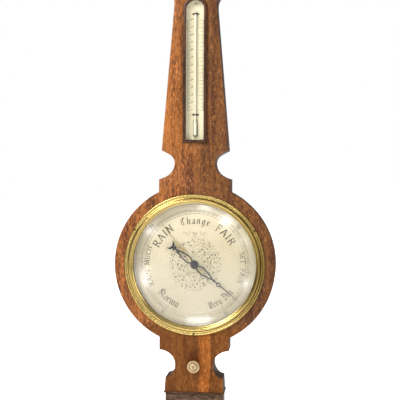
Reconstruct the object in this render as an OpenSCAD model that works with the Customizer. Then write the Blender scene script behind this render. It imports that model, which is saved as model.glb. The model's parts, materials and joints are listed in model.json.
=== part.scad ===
// Banjo-cased wall barometer with an aneroid movement, a knob-driven set hand and a trunk thermometer.
// Row frame: +Z up, +X to the right of someone facing the dial, the dial looks along -Y.
// Origin: on the wall plane, straight behind the centre of the dial. Millimetres and degrees.

/* [Case] */
// Depth of the case from the wall to the veneered front
case_depth = 42; // [40:1:50]
// Radius of the round part of the case around the dial
round_r = 133; // [130:0.5:138]
// Thickness of the front veneer
veneer_t = 1.5; // [1:0.5:2]
// Height of the trunk's top corner, where the head starts, above the dial centre
neck_y = 428; // [424:1:436]

/* [Dial] */
// Radius of the dial that shows inside the bezel
dial_show_r = 101.5; // [100:0.5:102]
// Outer radius of the brass bezel
bezel_r = 116; // [115.5:0.5:118]
// Height of the glass dome above its rim
glass_rise = 9; // [7:0.5:14]
// Where the indicator hand points at rest, clockwise from the top
hand_rest = 129; // [-150:1:150]
// Where the set hand points at rest, clockwise from the top
set_hand_rest = -40; // [-180:1:180]

/* [Set hand drive] */
// Distance from the dial centre down to the knob
knob_drop = 167; // [164:1:170]
// Diameter of the bone knob
knob_d = 21; // [18:1:24]
// Groove radius of the pulley on the set hand's pipe
set_pulley_r = 8; // [7:0.5:9]
// Groove radius of the pulley on the knob's spindle
knob_pulley_r = 5; // [4:0.5:6]

/* [Movement] */
// Radius of the brass movement plate
plate_r = 62; // [60:1:66]
// Radius of the aneroid capsule
capsule_r = 23; // [20:0.5:23]
// Radius of the chain drum on the hand's arbor
drum_r = 1.25; // [1.2:0.05:1.3]
// Length of the rocking bar's upright arm
upright_l = 13.5; // [13:0.5:13.5]
// Length of the rocking bar's crank arm
crank_l = 4.75; // [4.5:0.25:5]

/* [Thermometer] */
// Width of the scale plate that shows inside the frame
scale_w = 29.4; // [28:0.2:30]
// Width of the wooden bead round the scale
bead_w = 4.8; // [4:0.2:5]
// Height of the scale's lower edge above the dial centre
scale_y0 = 205; // [203:1:208]
// Height of the centre of the scale's round top above the dial centre
scale_arch_y = 418; // [416:1:420]

/* [Hidden] */
$fn = 96;

carcass_z = case_depth - veneer_t;
running = 0.05;             // radial clearance of a shaft in its hole
fit_gap = 0.02;             // radial gap round a screw or a fixed piece
through = 1;                // how far a cutter runs past the surface it opens
seat_gap = 0.5;             // the dial lies loose in its seat
cover_gap = 0.2;            // round the two back covers
pin_facets = 32;            // for pins and screws too small to need more

// Depth stations, measured out of the wall
cover_t = 4;
dial_seat_z = 33;
dial_t = 1.5;
dial_z = dial_seat_z + dial_t;
plate_z = 6.5;
plate_t = 1.5;
deck_z = plate_z + plate_t;
pulley_z = 29.6;
pulley_w = 2.8;

// Radii round the dial axis
dial_r = 104;
cavity_r = 78;
cover_r = 84;
arbor_r = 1;
pipe_r = 2.5;
pipe_bore_r = 1.35;

// ---------------------------------------------------------------- helpers

// Pieces are drawn lying on their back, z out of the wall and y up. This stands them up.
module stand() { rotate([90, 0, 0]) children(); }

module slab(from, to) { translate([0, 0, from]) linear_extrude(to - from) children(); }

module at(x, y, z = 0) { translate([x, y, z]) children(); }

module mirrored() {
    children();
    mirror([1, 0, 0]) children();
}

function curve(a, b, c, d, n = 10) =
    [for (i = [1:n]) let (t = i / n) a * (1 - t)^3 + b * 3 * t * (1 - t)^2 + c * 3 * t^2 * (1 - t) + d * t^3];

function arc(r, from, to, n = 24, cx = 0, cy = 0) =
    [for (i = [0:n]) let (a = from + (to - from) * i / n) [cx + r * cos(a), cy + r * sin(a)]];

function flip(points) = [for (i = [len(points) - 1:-1:0]) [-points[i].x, points[i].y]];

function both_sides(right_side) = concat(right_side, flip(right_side));

// A slotted screw: head from z = 0 up, shank down. The head is [radius, height].
module screw(head, shank_r, length) {
    slot_w = 0.24 * head[0];
    difference() {
        cylinder(r = head[0], h = head[1]);
        translate([-head[0] - through, -slot_w / 2, head[1] / 2])
            cube([2 * (head[0] + through), slot_w, head[1]]);
    }
    translate([0, 0, -length]) cylinder(r = shank_r, h = length + head[1] / 4);
}

// The same screw driven from the wall side: its head starts at z = 0.
module rear_screw(head, shank_r, length) {
    translate([0, 0, head[1]]) mirror([0, 0, 1]) screw(head, shank_r, length);
}

// A round pin along +x from the point [x, y, z].
module cross_pin(x, y, z, r, l) {
    translate([x, y, z]) rotate([0, 90, 0]) cylinder(r = r, h = l, $fn = pin_facets);
}

// ---------------------------------------------------------------- case outline

waist_soft = 0.56;          // how far a hollow's curve keeps the direction of its ends

// One hollow in the side of the case, from its lower corner round the waist to its upper corner.
function hollow(lower, waist, upper, lower_rise, upper_rise) =
    let (kl = waist_soft * (lower.x - waist.x), ku = waist_soft * (upper.x - waist.x))
    concat(
        curve(lower, lower + [-kl, kl * lower_rise], waist - [0, waist_soft * (waist.y - lower.y)], waist),
        curve(waist, waist + [0, waist_soft * (upper.y - waist.y)], upper - [ku, ku * upper_rise], upper));

foot_half = 48.6;
foot_y = -210;
foot_shoulder = [47.4, -186.6];
low_waist = [31.3, -165.4];
low_corner = [57.6, -141];
mid_corner = [59, 140.5];
mid_waist = [33.2, 166.8];
trunk_corner = [54.7, 187.7];
neck_half = 34.2;
neck_bevel = [0.6, 6];      // how far the trunk's top corner is eased, across and down
head_half = 50;
head_shoulder_y = neck_y + 19;
head_y = neck_y + 68;

function on_round(x) = acos(x / round_r);

case_side = concat(
    [[foot_half, foot_y], foot_shoulder],
    hollow(foot_shoulder, low_waist, low_corner, 0.05, 0.06),
    arc(round_r, -on_round(low_corner.x), on_round(mid_corner.x), 60),
    [mid_corner],
    hollow(mid_corner, mid_waist, trunk_corner, 0.22, 0.5),
    [[neck_half + neck_bevel.x, neck_y - neck_bevel.y]],
    curve([neck_half + neck_bevel.x, neck_y - neck_bevel.y], [neck_half - neck_bevel.x, neck_y + 8],
        [neck_half + 3, head_shoulder_y - 1.5], [head_half, head_shoulder_y]),
    [[head_half, head_y]]);

module case_outline() { polygon(both_sides(case_side)); }

// ---------------------------------------------------------------- case

thermo_pocket_z = case_depth - 7;
scale_lap = 1.1;            // how far the scale and its pocket run under the bead
pocket_lap = scale_lap + 0.1;
channel_half = 9;
channel_foot = -knob_drop - channel_half;
channel_z = 32.9;
strip_half = 15;
strip_t = 3;
strip_top = -cover_r - 1.5;
strip_foot = channel_foot - 6;
strip_edge_x = (channel_half + strip_half) / 2;
strip_screw_places = [[0, strip_foot + 3], [-strip_edge_x, strip_top - 3.5], [strip_edge_x, strip_top - 3.5]];
bush_r = 4;
cover_screw_ring = (cavity_r + cover_r) / 2;
cover_screw_angles = [45:90:315];
bezel_screw_ring = 113.6;
bezel_screw_angles = [30:120:270];
wood_screw_r = 1;
wood_screw_l = 11;
wood_hole_h = wood_screw_l + 3;
cover_screw_head = [2, 1.1];
sink_h = 1.2;               // countersink of a cover screw
sink_gap = sink_h - cover_screw_head[1];
hanger_y = head_y - 24;
hanger_t = 1.6;
hanger_hole_r = 3.5;
hanger_screw_x = 14;
hanger_screw_head = [2.6, 0.84];
hanger_screw_r = 1.5;
hanger_sink_h = 0.9;
hanger_gap = 0.1;
hook_room_r = 6.5;          // room behind the hanging plate for the head of the wall hook
hook_room_h = 12;

module arch_outline(half, from_y, arch_y) {
    polygon(concat([[-half, from_y], [half, from_y]], arc(half, 0, 180, 32, 0, arch_y)));
}

module hanger_outline(margin = 0) {
    circle(r = 8 + margin);
    square([40 + 2 * margin, 9 + 2 * margin], center = true);
}

module thermo_pocket_outline() {
    arch_outline(scale_w / 2 + pocket_lap, scale_y0 - pocket_lap, scale_arch_y);
}

module case_body() {
    color("saddlebrown") stand() difference() {
        slab(0, carcass_z) case_outline();
        at(0, 0, dial_seat_z) cylinder(r = dial_r + seat_gap, h = case_depth);
        at(0, 0, -through) cylinder(r = cavity_r, h = case_depth);
        at(0, 0, -through) cylinder(r = cover_r + cover_gap, h = cover_t + through);
        slab(thermo_pocket_z, case_depth) thermo_pocket_outline();
        translate([-channel_half, channel_foot, -through])
            cube([2 * channel_half, -channel_foot - cavity_r / 2, channel_z + through]);
        translate([-strip_half - cover_gap, strip_foot - cover_gap, -through])
            cube([2 * (strip_half + cover_gap), strip_top - strip_foot + 2 * cover_gap, strip_t + through]);
        at(0, -knob_drop, channel_z - through) cylinder(r = bush_r + fit_gap, h = case_depth);
        for (p = strip_screw_places) at(p.x, p.y) cylinder(r = wood_screw_r + fit_gap, h = wood_hole_h);
        for (a = cover_screw_angles) rotate(a) at(cover_screw_ring, 0)
            cylinder(r = wood_screw_r + fit_gap, h = wood_hole_h);
        for (a = bezel_screw_angles) rotate(a) at(bezel_screw_ring, 0, case_depth - wood_screw_l)
            cylinder(r = wood_screw_r + fit_gap, h = wood_hole_h);
        at(0, hanger_y, -through) linear_extrude(hanger_t + through) hanger_outline(hanger_gap);
        at(0, hanger_y) cylinder(r = hook_room_r, h = hook_room_h);
        mirrored() at(hanger_screw_x, hanger_y) cylinder(r = hanger_screw_r + fit_gap, h = wood_hole_h);
    }
}

module front_veneer() {
    color("sienna") stand() slab(carcass_z, case_depth) difference() {
        case_outline();
        circle(r = dial_r + seat_gap);
        thermo_pocket_outline();
        at(0, -knob_drop) circle(r = bush_r + fit_gap);
        for (a = bezel_screw_angles) rotate(a) at(bezel_screw_ring, 0) circle(r = wood_screw_r + fit_gap);
    }
}

// A block whose front and two ends all follow one moulding profile, mitred at its corners.
// The profile lists [projection, height] from its foot to its top.
module moulded_block(half, depth, profile) {
    top = profile[len(profile) - 1].y;
    foot = profile[0].y;
    intersection() {
        slab(0, 2 * depth) polygon(both_sides([for (p = profile) [half + p.x, p.y]]));
        rotate([0, 90, 0]) translate([0, 0, -2 * half]) linear_extrude(4 * half)
            polygon(concat([[through, foot]], [for (p = profile) [-depth - p.x, p.y]], [[through, top]]));
        translate([-2 * half, foot - through, 0]) cube([4 * half, top - foot + 2 * through, 2 * depth]);
    }
}

base_bead_h = 2.4;
bead_foot = foot_y - base_bead_h;
plinth_half = 47.8;
plinth_z = case_depth - 3;
plinth_foot = bead_foot - 32;
foot_moulding_h = 11;

module base_bead() {
    round = base_bead_h / 2;
    nose = concat([[0, 0]], arc(round, -90, 90, 8, round / 2, round), [[0, base_bead_h]]);
    color("saddlebrown") stand() at(0, bead_foot) moulded_block(foot_half, case_depth, nose);
}

module base_plinth() {
    color("saddlebrown") stand() slab(0, plinth_z)
        polygon(both_sides([[plinth_half, plinth_foot], [plinth_half, bead_foot]]));
}

module plinth_moulding() {
    ogee = concat([[5, 0], [5, 3]], curve([5, 3], [4.6, 6.5], [1, 5.5], [0.4, 9.5], 8),
        [[0, foot_moulding_h]]);
    color("saddlebrown") stand() at(0, plinth_foot - foot_moulding_h)
        moulded_block(plinth_half, plinth_z, ogee);
}

cornice_h = 12;

module cornice() {
    cyma = concat([[0, 0], [1.2, 0], [1.2, 2]], curve([1.2, 2], [1.6, 6], [6, 4.5], [6.6, 8.5], 8),
        [[8, 8.5], [8, cornice_h]]);
    color("saddlebrown") stand() at(0, head_y) moulded_block(head_half, case_depth, cyma);
}

pediment_y = head_y + cornice_h;
pediment_rise = 44;
pediment_half = head_half + 5;
scroll_x = 17;
scroll_r = 9;
scroll_y = pediment_y + pediment_rise - scroll_r;
board_z = [24, case_depth - 3];
neck_moulding_w = 4;
block_half = 7;
block_h = 22;

// Centre line of one swan-neck, from the outer corner up to the scroll.
function swan_neck(drop) =
    concat([[pediment_half, pediment_y + 7 - drop]],
        curve([pediment_half, pediment_y + 7 - drop], [pediment_half - 16, pediment_y + 10 - drop],
            [scroll_x + 22, pediment_y + pediment_rise - 6 - drop],
            [scroll_x + 1, pediment_y + pediment_rise - 1 - drop], 16));

module pediment_boards() {
    color("sienna") stand() mirrored() slab(board_z[0], board_z[1]) difference() {
        polygon(concat([[scroll_x - 4, pediment_y], [pediment_half, pediment_y]], swan_neck(neck_moulding_w),
            [[scroll_x - 4, pediment_y + pediment_rise - 12]]));
        at(scroll_x, scroll_y) circle(r = scroll_r);
    }
}

module pediment_mouldings() {
    lower = swan_neck(neck_moulding_w);
    color("saddlebrown") stand() mirrored() slab(board_z[0] - 2, board_z[1] + 6) difference() {
        polygon(concat(swan_neck(0), [for (i = [len(lower) - 1:-1:0]) lower[i]]));
        at(scroll_x, scroll_y) circle(r = scroll_r + fit_gap / 2);
    }
}

module scroll_rosettes() {
    groove = [5.2, 25.6];
    turned = concat([[0, 0], [scroll_r, 0], [scroll_r, 25]],
        curve([scroll_r, 25], [scroll_r - 1, 28], [5.6, 28], groove, 6),
        curve(groove, [4.5, 29], [1.5, 29.5], [0, 29.6], 6));
    color("saddlebrown") stand() mirrored() at(scroll_x, scroll_y, board_z[0] - 2)
        rotate_extrude() polygon(turned);
}

module finial_block() {
    color("saddlebrown") stand() translate([-block_half, pediment_y, board_z[0]])
        cube([2 * block_half, block_h, board_z[1] - board_z[0] + 2]);
}

module finial() {
    profile = concat([[0, 0], [7.5, 0], [7.5, 1.8]],
        curve([7.5, 1.8], [4.5, 2.6], [2.6, 4], [2.6, 7], 6), [[3.8, 7.4], [3.8, 8.8]],
        arc(7.2, -62, 70, 16, 0, 15.2), curve([2.5, 24], [1.6, 27], [1.9, 28.5], [2.2, 30], 5),
        curve([2.2, 30], [2, 33], [0.8, 36], [0, 40], 6));
    color("goldenrod") stand() at(0, pediment_y + block_h, (board_z[0] + board_z[1]) / 2 + 1)
        rotate([-90, 0, 0]) rotate_extrude() polygon(profile);
}

// ---------------------------------------------------------------- back of the case

adjuster_y = -51;
adjuster_access_r = 5.5;

// A countersunk hole for a cover screw, through a cover of thickness t.
module cover_hole(t) {
    at(0, 0, -through) cylinder(r = wood_screw_r + fit_gap, h = t + 2 * through);
    at(0, 0, -through) cylinder(r = cover_screw_head[0] + fit_gap, h = sink_h + through);
}

module rear_cover() {
    color("burlywood") stand() difference() {
        cylinder(r = cover_r, h = cover_t);
        at(0, adjuster_y, -through) cylinder(r = adjuster_access_r, h = cover_t + 2 * through);
        for (a = cover_screw_angles) rotate(a) at(cover_screw_ring, 0) cover_hole(cover_t);
    }
}

module rear_cover_screws() {
    color("goldenrod") stand() for (a = cover_screw_angles) rotate(a) at(cover_screw_ring, 0, sink_gap)
        rear_screw(cover_screw_head, wood_screw_r, wood_screw_l);
}

module channel_cover() {
    color("burlywood") stand() difference() {
        translate([-strip_half, strip_foot, 0]) cube([2 * strip_half, strip_top - strip_foot, strip_t]);
        for (p = strip_screw_places) at(p.x, p.y) cover_hole(strip_t);
    }
}

module channel_cover_screws() {
    color("goldenrod") stand() for (p = strip_screw_places) at(p.x, p.y, sink_gap)
        rear_screw(cover_screw_head, wood_screw_r, wood_screw_l);
}

module hanger_plate() {
    color("goldenrod") stand() at(0, hanger_y) difference() {
        linear_extrude(hanger_t) hanger_outline();
        at(0, 0, -through) cylinder(r = hanger_hole_r, h = hanger_t + 2 * through);
        mirrored() at(hanger_screw_x, 0, -through)
            cylinder(r = hanger_screw_r + fit_gap, h = hanger_t + 2 * through);
        mirrored() at(hanger_screw_x, 0, -through)
            cylinder(r = hanger_screw_head[0] + fit_gap, h = hanger_sink_h + through);
    }
}

module hanger_screws() {
    color("goldenrod") stand() mirrored() at(hanger_screw_x, hanger_y, hanger_sink_h - hanger_screw_head[1])
        rear_screw(hanger_screw_head, hanger_screw_r, wood_screw_l);
}

// ---------------------------------------------------------------- bezel, glass and dial

glass_seat_z = case_depth + 2;
glass_t = 2;
glass_top_z = glass_seat_z + glass_t;
glass_r = 104.2;
bezel_bore_r = glass_r + 0.4;
bezel_screw_head = [1.7, 0.8];
bezel_sink_z = 3.4;         // height of the seat of a bezel screw's head above the wood

// From the outer edge inwards: a rounded rim, a cove, a high bead, and a slope down to the glass.
module bezel() {
    rim_foot = [bezel_r, 2.2];
    rim = [bezel_r - 2.4, 4.2];
    cove = [bezel_r - 7.2, 6.4];
    bead = [dial_show_r + 1.9, 6.8];
    section = concat([[bezel_bore_r, 0], [bezel_r, 0], rim_foot],
        curve(rim_foot, [bezel_r, 4], [bezel_r - 1.2, 4.4], rim, 6),
        curve(rim, [bezel_r - 4.6, 2.6], [bezel_r - 6.4, 2.6], cove, 8),
        curve(cove, [bezel_r - 7.8, 9.6], [dial_show_r + 3.6, 9.6], bead, 8),
        [[dial_show_r, 5.6], [dial_show_r, glass_top_z - case_depth + 0.1],
            [bezel_bore_r, glass_top_z - case_depth + 0.1]]);
    color("goldenrod") stand() at(0, 0, case_depth) difference() {
        rotate_extrude($fn = 180) polygon(section);
        for (a = bezel_screw_angles) rotate(a) at(bezel_screw_ring, 0) {
            at(0, 0, -through) cylinder(r = wood_screw_r + fit_gap, h = wood_screw_l);
            at(0, 0, bezel_sink_z) cylinder(r = bezel_screw_head[0] + fit_gap, h = wood_screw_l);
        }
    }
}

module bezel_screws() {
    color("goldenrod") stand() for (a = bezel_screw_angles) rotate(a)
        at(bezel_screw_ring, 0, case_depth + bezel_sink_z) rotate(40 + a)
            screw(bezel_screw_head, wood_screw_r, wood_screw_l - 1);
}

dome_r = dial_show_r - 0.6;
dome_power = 2.6;           // higher is flatter in the middle and steeper at the rim

// Height of the dome's outer skin above its rim, at radius r.
function dome(r) = glass_rise * (1 - (r / dome_r)^dome_power);

module dial_glass() {
    rings = 16;
    skin = [for (i = [0:rings]) let (r = dome_r * (1 - i / rings)) [r, glass_top_z + dome(r)]];
    color("white", 0.3) stand() rotate_extrude($fn = 128) polygon(concat(
        [[glass_r, glass_seat_z], [glass_r, glass_top_z]], skin,
        [for (i = [len(skin) - 1:-1:0]) skin[i] - [0, glass_t]]));
}

ring_gap = 0.05;            // above and below the ring that spaces the glass from the dial

module glass_ring() {
    color("goldenrod") stand() at(0, 0, dial_z + ring_gap) difference() {
        cylinder(r = dial_r + 0.2, h = glass_seat_z - dial_z - 2 * ring_gap, $fn = 180);
        at(0, 0, -through) cylinder(r = dial_show_r + 0.3, h = case_depth, $fn = 180);
    }
}

pillar_ring = 56;
pillar_angles = [45:90:315];
pillar_r = 2.6;
pillar_flange = [3.6, 2];   // radius and height of its foot and of its head
plate_screw_r = 1.3;
plate_screw_head = [2.4, 1.2];
plate_screw_l = 7;
dial_bush_r = 4.2;
dial_bush_flange = [5.4, 0.8];

module dial_plate() {
    color("ivory") stand() slab(dial_seat_z, dial_z) difference() {
        circle(r = dial_r, $fn = 180);
        circle(r = dial_bush_r + fit_gap);
    }
}

module dial_pillars() {
    color("goldenrod") stand() for (a = pillar_angles) rotate(a) at(pillar_ring, 0, deck_z) difference() {
        union() {
            cylinder(r = pillar_r, h = dial_seat_z - deck_z);
            for (z = [0, dial_seat_z - deck_z - pillar_flange[1]])
                at(0, 0, z) cylinder(r = pillar_flange[0], h = pillar_flange[1]);
        }
        at(0, 0, -through) cylinder(r = plate_screw_r + fit_gap, h = plate_screw_l + through);
    }
}

module dial_bush() {
    color("goldenrod") stand() difference() {
        union() {
            at(0, 0, dial_seat_z) cylinder(r = dial_bush_r, h = dial_t);
            at(0, 0, dial_z) cylinder(r = dial_bush_flange[0], h = dial_bush_flange[1]);
        }
        slab(dial_seat_z - through, dial_z + dial_bush_flange[1] + through) circle(r = pipe_r + running);
    }
}

// ---------------------------------------------------------------- hands

set_hand_z = dial_z + 3;
set_hand_t = 0.7;
hand_z = set_hand_z + 3;
hand_t = 0.9;
hand_boss_r = 7;
collet_spigot_r = 2.6;
hand_l = 92;

// A pointed leaf along +y, widest a third of the way up.
module leaf(from, to, half, tip) {
    rise = to - from;
    polygon(both_sides(concat([[tip, from]], curve([tip, from], [1.3 * half, from + 0.08 * rise],
        [1.15 * half, from + rise / 2], [tip, to], 14))));
}

// The same leaf with its middle cut out, which leaves two curved bars.
module open_leaf(from, to, half, bar) {
    difference() {
        leaf(from, to, half, bar / 2);
        leaf(from + bar, to - 2.4 * bar, half - bar, 0.1);
    }
}

module tapered_bar(from, to, half_from, half_to) {
    polygon([[-half_from, from], [half_from, from], [half_to, to], [-half_to, to]]);
}

hand_bar = 1.8;
hand_leaf = [5, 39];        // where its open leaf starts and ends
hand_leaf_half = 6.2;
hand_knot_y = 42;
hand_ring_y = 51.4;
hand_ring_r = 3.8;
hand_ring_hole_r = 2.1;
hand_tip_half = 0.3;

module hand_outline() {
    difference() {
        union() {
            circle(r = hand_boss_r, $fn = 64);
            open_leaf(hand_leaf[0], hand_leaf[1], hand_leaf_half, hand_bar);
            tapered_bar(hand_leaf[1] - 4, hand_ring_y - 2.6, 1.1, 0.9);
            at(0, hand_knot_y) square([4.2, 2.4], center = true);
            at(0, hand_ring_y) circle(r = hand_ring_r, $fn = 48);
            tapered_bar(hand_ring_y + 2.6, hand_l, 0.9, hand_tip_half);
            rotate(180) hand_tail();
        }
        at(0, hand_ring_y) circle(r = hand_ring_hole_r, $fn = 48);
        circle(r = collet_spigot_r, $fn = 48);
    }
}

// The short end: an open leaf, a knot with two lobes, and a crescent with its horns outwards.
module hand_tail() {
    crescent_r = 7.6;
    open_leaf(hand_leaf[0], hand_leaf[1] - 1, hand_leaf_half, hand_bar);
    tapered_bar(hand_leaf[1] - 5, hand_knot_y + 5, 1.3, 1.5);
    for (x = [-2.7, 2.7]) at(x, hand_knot_y + 0.6) circle(r = 1.7, $fn = 24);
    at(0, hand_knot_y) square([5.2, 1.8], center = true);
    at(0, hand_knot_y + 10) difference() {
        circle(r = crescent_r, $fn = 48);
        at(0, 4.9) circle(r = crescent_r + 0.7, $fn = 48);
    }
}

module indicator_hand() {
    color("darkslategray") stand() rotate(-hand_rest) slab(hand_z, hand_z + hand_t) hand_outline();
}

collet_foot = [4.5, 1.2];   // radius and height under the hand
arbor_top_z = hand_z + 2;   // where the arbor ends inside the collet

// A flange under the hand, a spigot through it, and a turned cap whose middle is hollowed round a point.
module hand_collet() {
    cap_edge = [5.2, 0.9];
    cap = concat([[0, 0], [cap_edge.x, 0], cap_edge], curve(cap_edge, [4.8, 2], [4, 2.2], [3, 2], 5),
        [[2.4, 1.5], [1.4, 1.7], [0, 2.2]]);
    color("darkslategray") stand() difference() {
        union() {
            at(0, 0, hand_z - collet_foot[1]) cylinder(r = collet_foot[0], h = collet_foot[1]);
            at(0, 0, hand_z - fit_gap) cylinder(r = collet_spigot_r - fit_gap, h = hand_t + 2 * fit_gap);
            at(0, 0, hand_z + hand_t) rotate_extrude($fn = 64) polygon(cap);
        }
        slab(hand_z - 2, arbor_top_z) circle(r = arbor_r + fit_gap);
    }
}

// Heights on the hand's arbor: two bridge plates, and between them the hairspring's collet and the drum
lower_bridge_z = 20.6;
upper_bridge_z = 28;
bridge_t = 1.2;
drum_z = [24.2, 27.2];
drum_cheek = [2.2, 0.4];    // radius and thickness of the drum's two cheeks
spring_collet_z = [22.4, 23.4];
spring_collet_r = 1.6;

module pointer_arbor() {
    color("silver") stand() union() {
        slab(lower_bridge_z, arbor_top_z - fit_gap) circle(r = arbor_r);
        slab(drum_z[0], drum_z[1]) circle(r = drum_r);
        for (z = [drum_z[0] - drum_cheek[1], drum_z[1]])
            at(0, 0, z) cylinder(r = drum_cheek[0], h = drum_cheek[1]);
        slab(spring_collet_z[0], spring_collet_z[1]) circle(r = spring_collet_r);
    }
}

set_hand_l = 90.5;
set_hand_boss_r = 5.2;
set_hand_leaf = [30, 47];   // where its pierced leaf starts and ends
set_hand_tail_y = -17.5;
pipe_spigot_r = 1.85;

module set_hand() {
    color("gold") stand() rotate(-set_hand_rest) slab(set_hand_z, set_hand_z + set_hand_t) difference() {
        union() {
            circle(r = set_hand_boss_r, $fn = 48);
            tapered_bar(4, set_hand_leaf[0] + 2, 1.5, 0.8);
            open_leaf(set_hand_leaf[0], set_hand_leaf[1], 4.2, 0.9);
            tapered_bar(set_hand_leaf[0] + 1, set_hand_leaf[1] - 1, 0.5, 0.5);
            for (x = [-2.2, 2.2]) at(x, set_hand_leaf[0]) circle(r = 1.7, $fn = 24);
            tapered_bar(set_hand_leaf[1] - 2, set_hand_l, 0.8, hand_tip_half);
            tapered_bar(set_hand_tail_y + 1.5, -4, 1, 1.3);
            at(0, set_hand_tail_y) circle(r = 3.2, $fn = pin_facets);
        }
        circle(r = pipe_spigot_r, $fn = pin_facets);
    }
}

module set_hand_pipe() {
    foot_z = pulley_z - 0.2;
    color("goldenrod") stand() difference() {
        union() {
            slab(foot_z, set_hand_z) circle(r = pipe_r);
            slab(set_hand_z - fit_gap, set_hand_z + set_hand_t) circle(r = pipe_spigot_r - fit_gap);
        }
        slab(foot_z - through, set_hand_z + set_hand_t + through) circle(r = pipe_bore_r);
    }
}

pulley_rim_h = 1.5;         // how far a pulley's rims stand above its groove

// A grooved pulley, flat on z = 0, whose groove bottom has radius r.
module pulley(r, bore) {
    rim = r + pulley_rim_h;
    rotate_extrude() polygon([[bore, 0], [rim, 0], [rim, 0.5], [r, 1], [r, pulley_w - 1],
        [rim, pulley_w - 0.5], [rim, pulley_w], [bore, pulley_w]]);
}

module set_hand_pulley() {
    color("goldenrod") stand() at(0, 0, pulley_z) pulley(set_pulley_r, pipe_r + fit_gap);
}

// ---------------------------------------------------------------- knob and cord

cord_r = 0.4;
cord_gap = 0.06;
spindle_r = 2;

// The outline round both pulleys, moved outwards by grow.
module cord_outline(grow) {
    upper = set_pulley_r + cord_r + cord_gap;
    lower = knob_pulley_r + cord_r + cord_gap;
    lean = asin((upper - lower) / knob_drop);
    polygon(concat(arc(upper + grow, -lean, 180 + lean, 48),
        arc(lower + grow, 180 + lean, 360 - lean, 48, 0, -knob_drop)));
}

module drive_cord() {
    color("wheat") stand() at(0, 0, pulley_z + pulley_w / 2) slab(-cord_r, cord_r) difference() {
        cord_outline(cord_r);
        cord_outline(-cord_r);
    }
}

module knob_pulley() {
    color("goldenrod") stand() at(0, -knob_drop, pulley_z) pulley(knob_pulley_r, spindle_r + fit_gap);
}

spindle_collar_r = 3.2;
spindle_top_z = case_depth + 7;

module knob_spindle() {
    color("goldenrod") stand() at(0, -knob_drop, 0) {
        slab(pulley_z - 1, spindle_top_z) circle(r = spindle_r);
        slab(pulley_z - 1, pulley_z - fit_gap) circle(r = spindle_collar_r);
    }
}

module knob_bush() {
    color("goldenrod") stand() at(0, -knob_drop, channel_z) difference() {
        cylinder(r = bush_r, h = case_depth - channel_z);
        at(0, 0, -through) cylinder(r = spindle_r + running, h = case_depth);
    }
}

// Turned all round: a stem, a wide rounded edge, a groove, and a button with a hollow middle.
module knob() {
    r = knob_d / 2;
    stem = [4.6, 3.2];
    edge_low = [r - 0.4, 6];
    edge_high = [r - 1.8, 9.4];
    groove = [r - 3.9, 7.6];
    button = [2.4, 10.2];
    turned = concat([[0, 0.4], [stem.x, 0.4], stem], curve(stem, [4.8, 5], [r - 2, 4.6], edge_low, 6),
        curve(edge_low, [r + 0.3, 7.2], [r - 0.2, 9], edge_high, 6),
        curve(edge_high, [r - 3, 9.7], [r - 3.5, 8.2], groove, 5),
        curve(groove, [r - 4.6, 9.4], [3.8, 11], button, 6), [[1.6, 8.6], [0, 8.2]]);
    color("cornsilk") stand() at(0, -knob_drop, case_depth) difference() {
        rotate_extrude($fn = 64) polygon(turned);
        slab(0, spindle_top_z - case_depth) circle(r = spindle_r + fit_gap);
    }
}

// ---------------------------------------------------------------- movement

capsule_y = -25;
capsule_top = deck_z + 6;
stud_r = 1.6;
pivot_screw_r = 1.2;
pivot_y = -51;
pivot_z = 19;
rocker_y = 47;
rocker_z = 12.5;
rocker_lean = 12;           // lean of the upright arm towards the arbor at rest
rocker_shaft_r = 1.2;
lever_x = -17;
crank_end = [rocker_y - crank_l * cos(rocker_lean), rocker_z - crank_l * sin(rocker_lean)];
lever_z = 20.4;
lever_t = 1.4;
link_z = lever_z - 1.2;     // height of the pin that joins the lever and its link
link_pin_r = 0.5;
post_place = [10, 9];
post_r = 2.4;
post_neck_r = 1.6;
bridge_x = 29;
adjuster_r = 2;

module movement_plate() {
    color("goldenrod") stand() slab(plate_z, deck_z) difference() {
        circle(r = plate_r);
        for (a = pillar_angles) rotate(a) at(pillar_ring, 0)
            circle(r = plate_screw_r + fit_gap, $fn = pin_facets);
        at(0, adjuster_y) circle(r = adjuster_r + running, $fn = pin_facets);
        mirrored() at(bridge_x, capsule_y) circle(r = plate_screw_r + fit_gap, $fn = pin_facets);
    }
}

module plate_screws() {
    color("silver") stand() for (a = pillar_angles) rotate(a)
        at(pillar_ring, 0, plate_z - plate_screw_head[1])
            rear_screw(plate_screw_head, plate_screw_r, plate_screw_l);
}

capsule_foot = [5, 1];      // radius and height of the boss it stands on
capsule_edge = 1.6;         // width of the soldered edge outside the ripples
ripple_steps = 18;
ripple_h = 0.35;

// The corrugated top face of the capsule, as [radius, height] from the edge inwards to a flat middle.
function ripple(top) = [for (i = [0:ripple_steps])
    let (r = (capsule_r - capsule_edge) * (1 - i / ripple_steps))
    [r, top + (r > capsule_foot[0] ? ripple_h * sin(i * 90) : 0.4)]];

module capsule() {
    color("silver") stand() at(0, capsule_y, deck_z) {
        cylinder(r = capsule_foot[0], h = capsule_foot[1]);
        rotate_extrude() polygon(concat([[0, 0.9], [capsule_foot[0], 0.9], [capsule_r - capsule_edge, 1.6],
            [capsule_r, 3.2], [capsule_r, 3.9]], ripple(5.6)));
    }
}

stud_flange = [3, 1.2];
stud_h = 6.6;
driver_slot = [0.6, 0.8];   // width and depth of a slot for a screwdriver

module capsule_stud() {
    color("goldenrod") stand() at(0, capsule_y, capsule_top) difference() {
        union() {
            cylinder(r = stud_flange[0], h = stud_flange[1], $fn = pin_facets);
            cylinder(r = stud_r, h = stud_h, $fn = pin_facets);
        }
        translate([-stud_flange[0], -driver_slot[0] / 2, stud_h - driver_slot[1]])
            cube([2 * stud_flange[0], driver_slot[0], 2 * driver_slot[1]]);
    }
}

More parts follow.
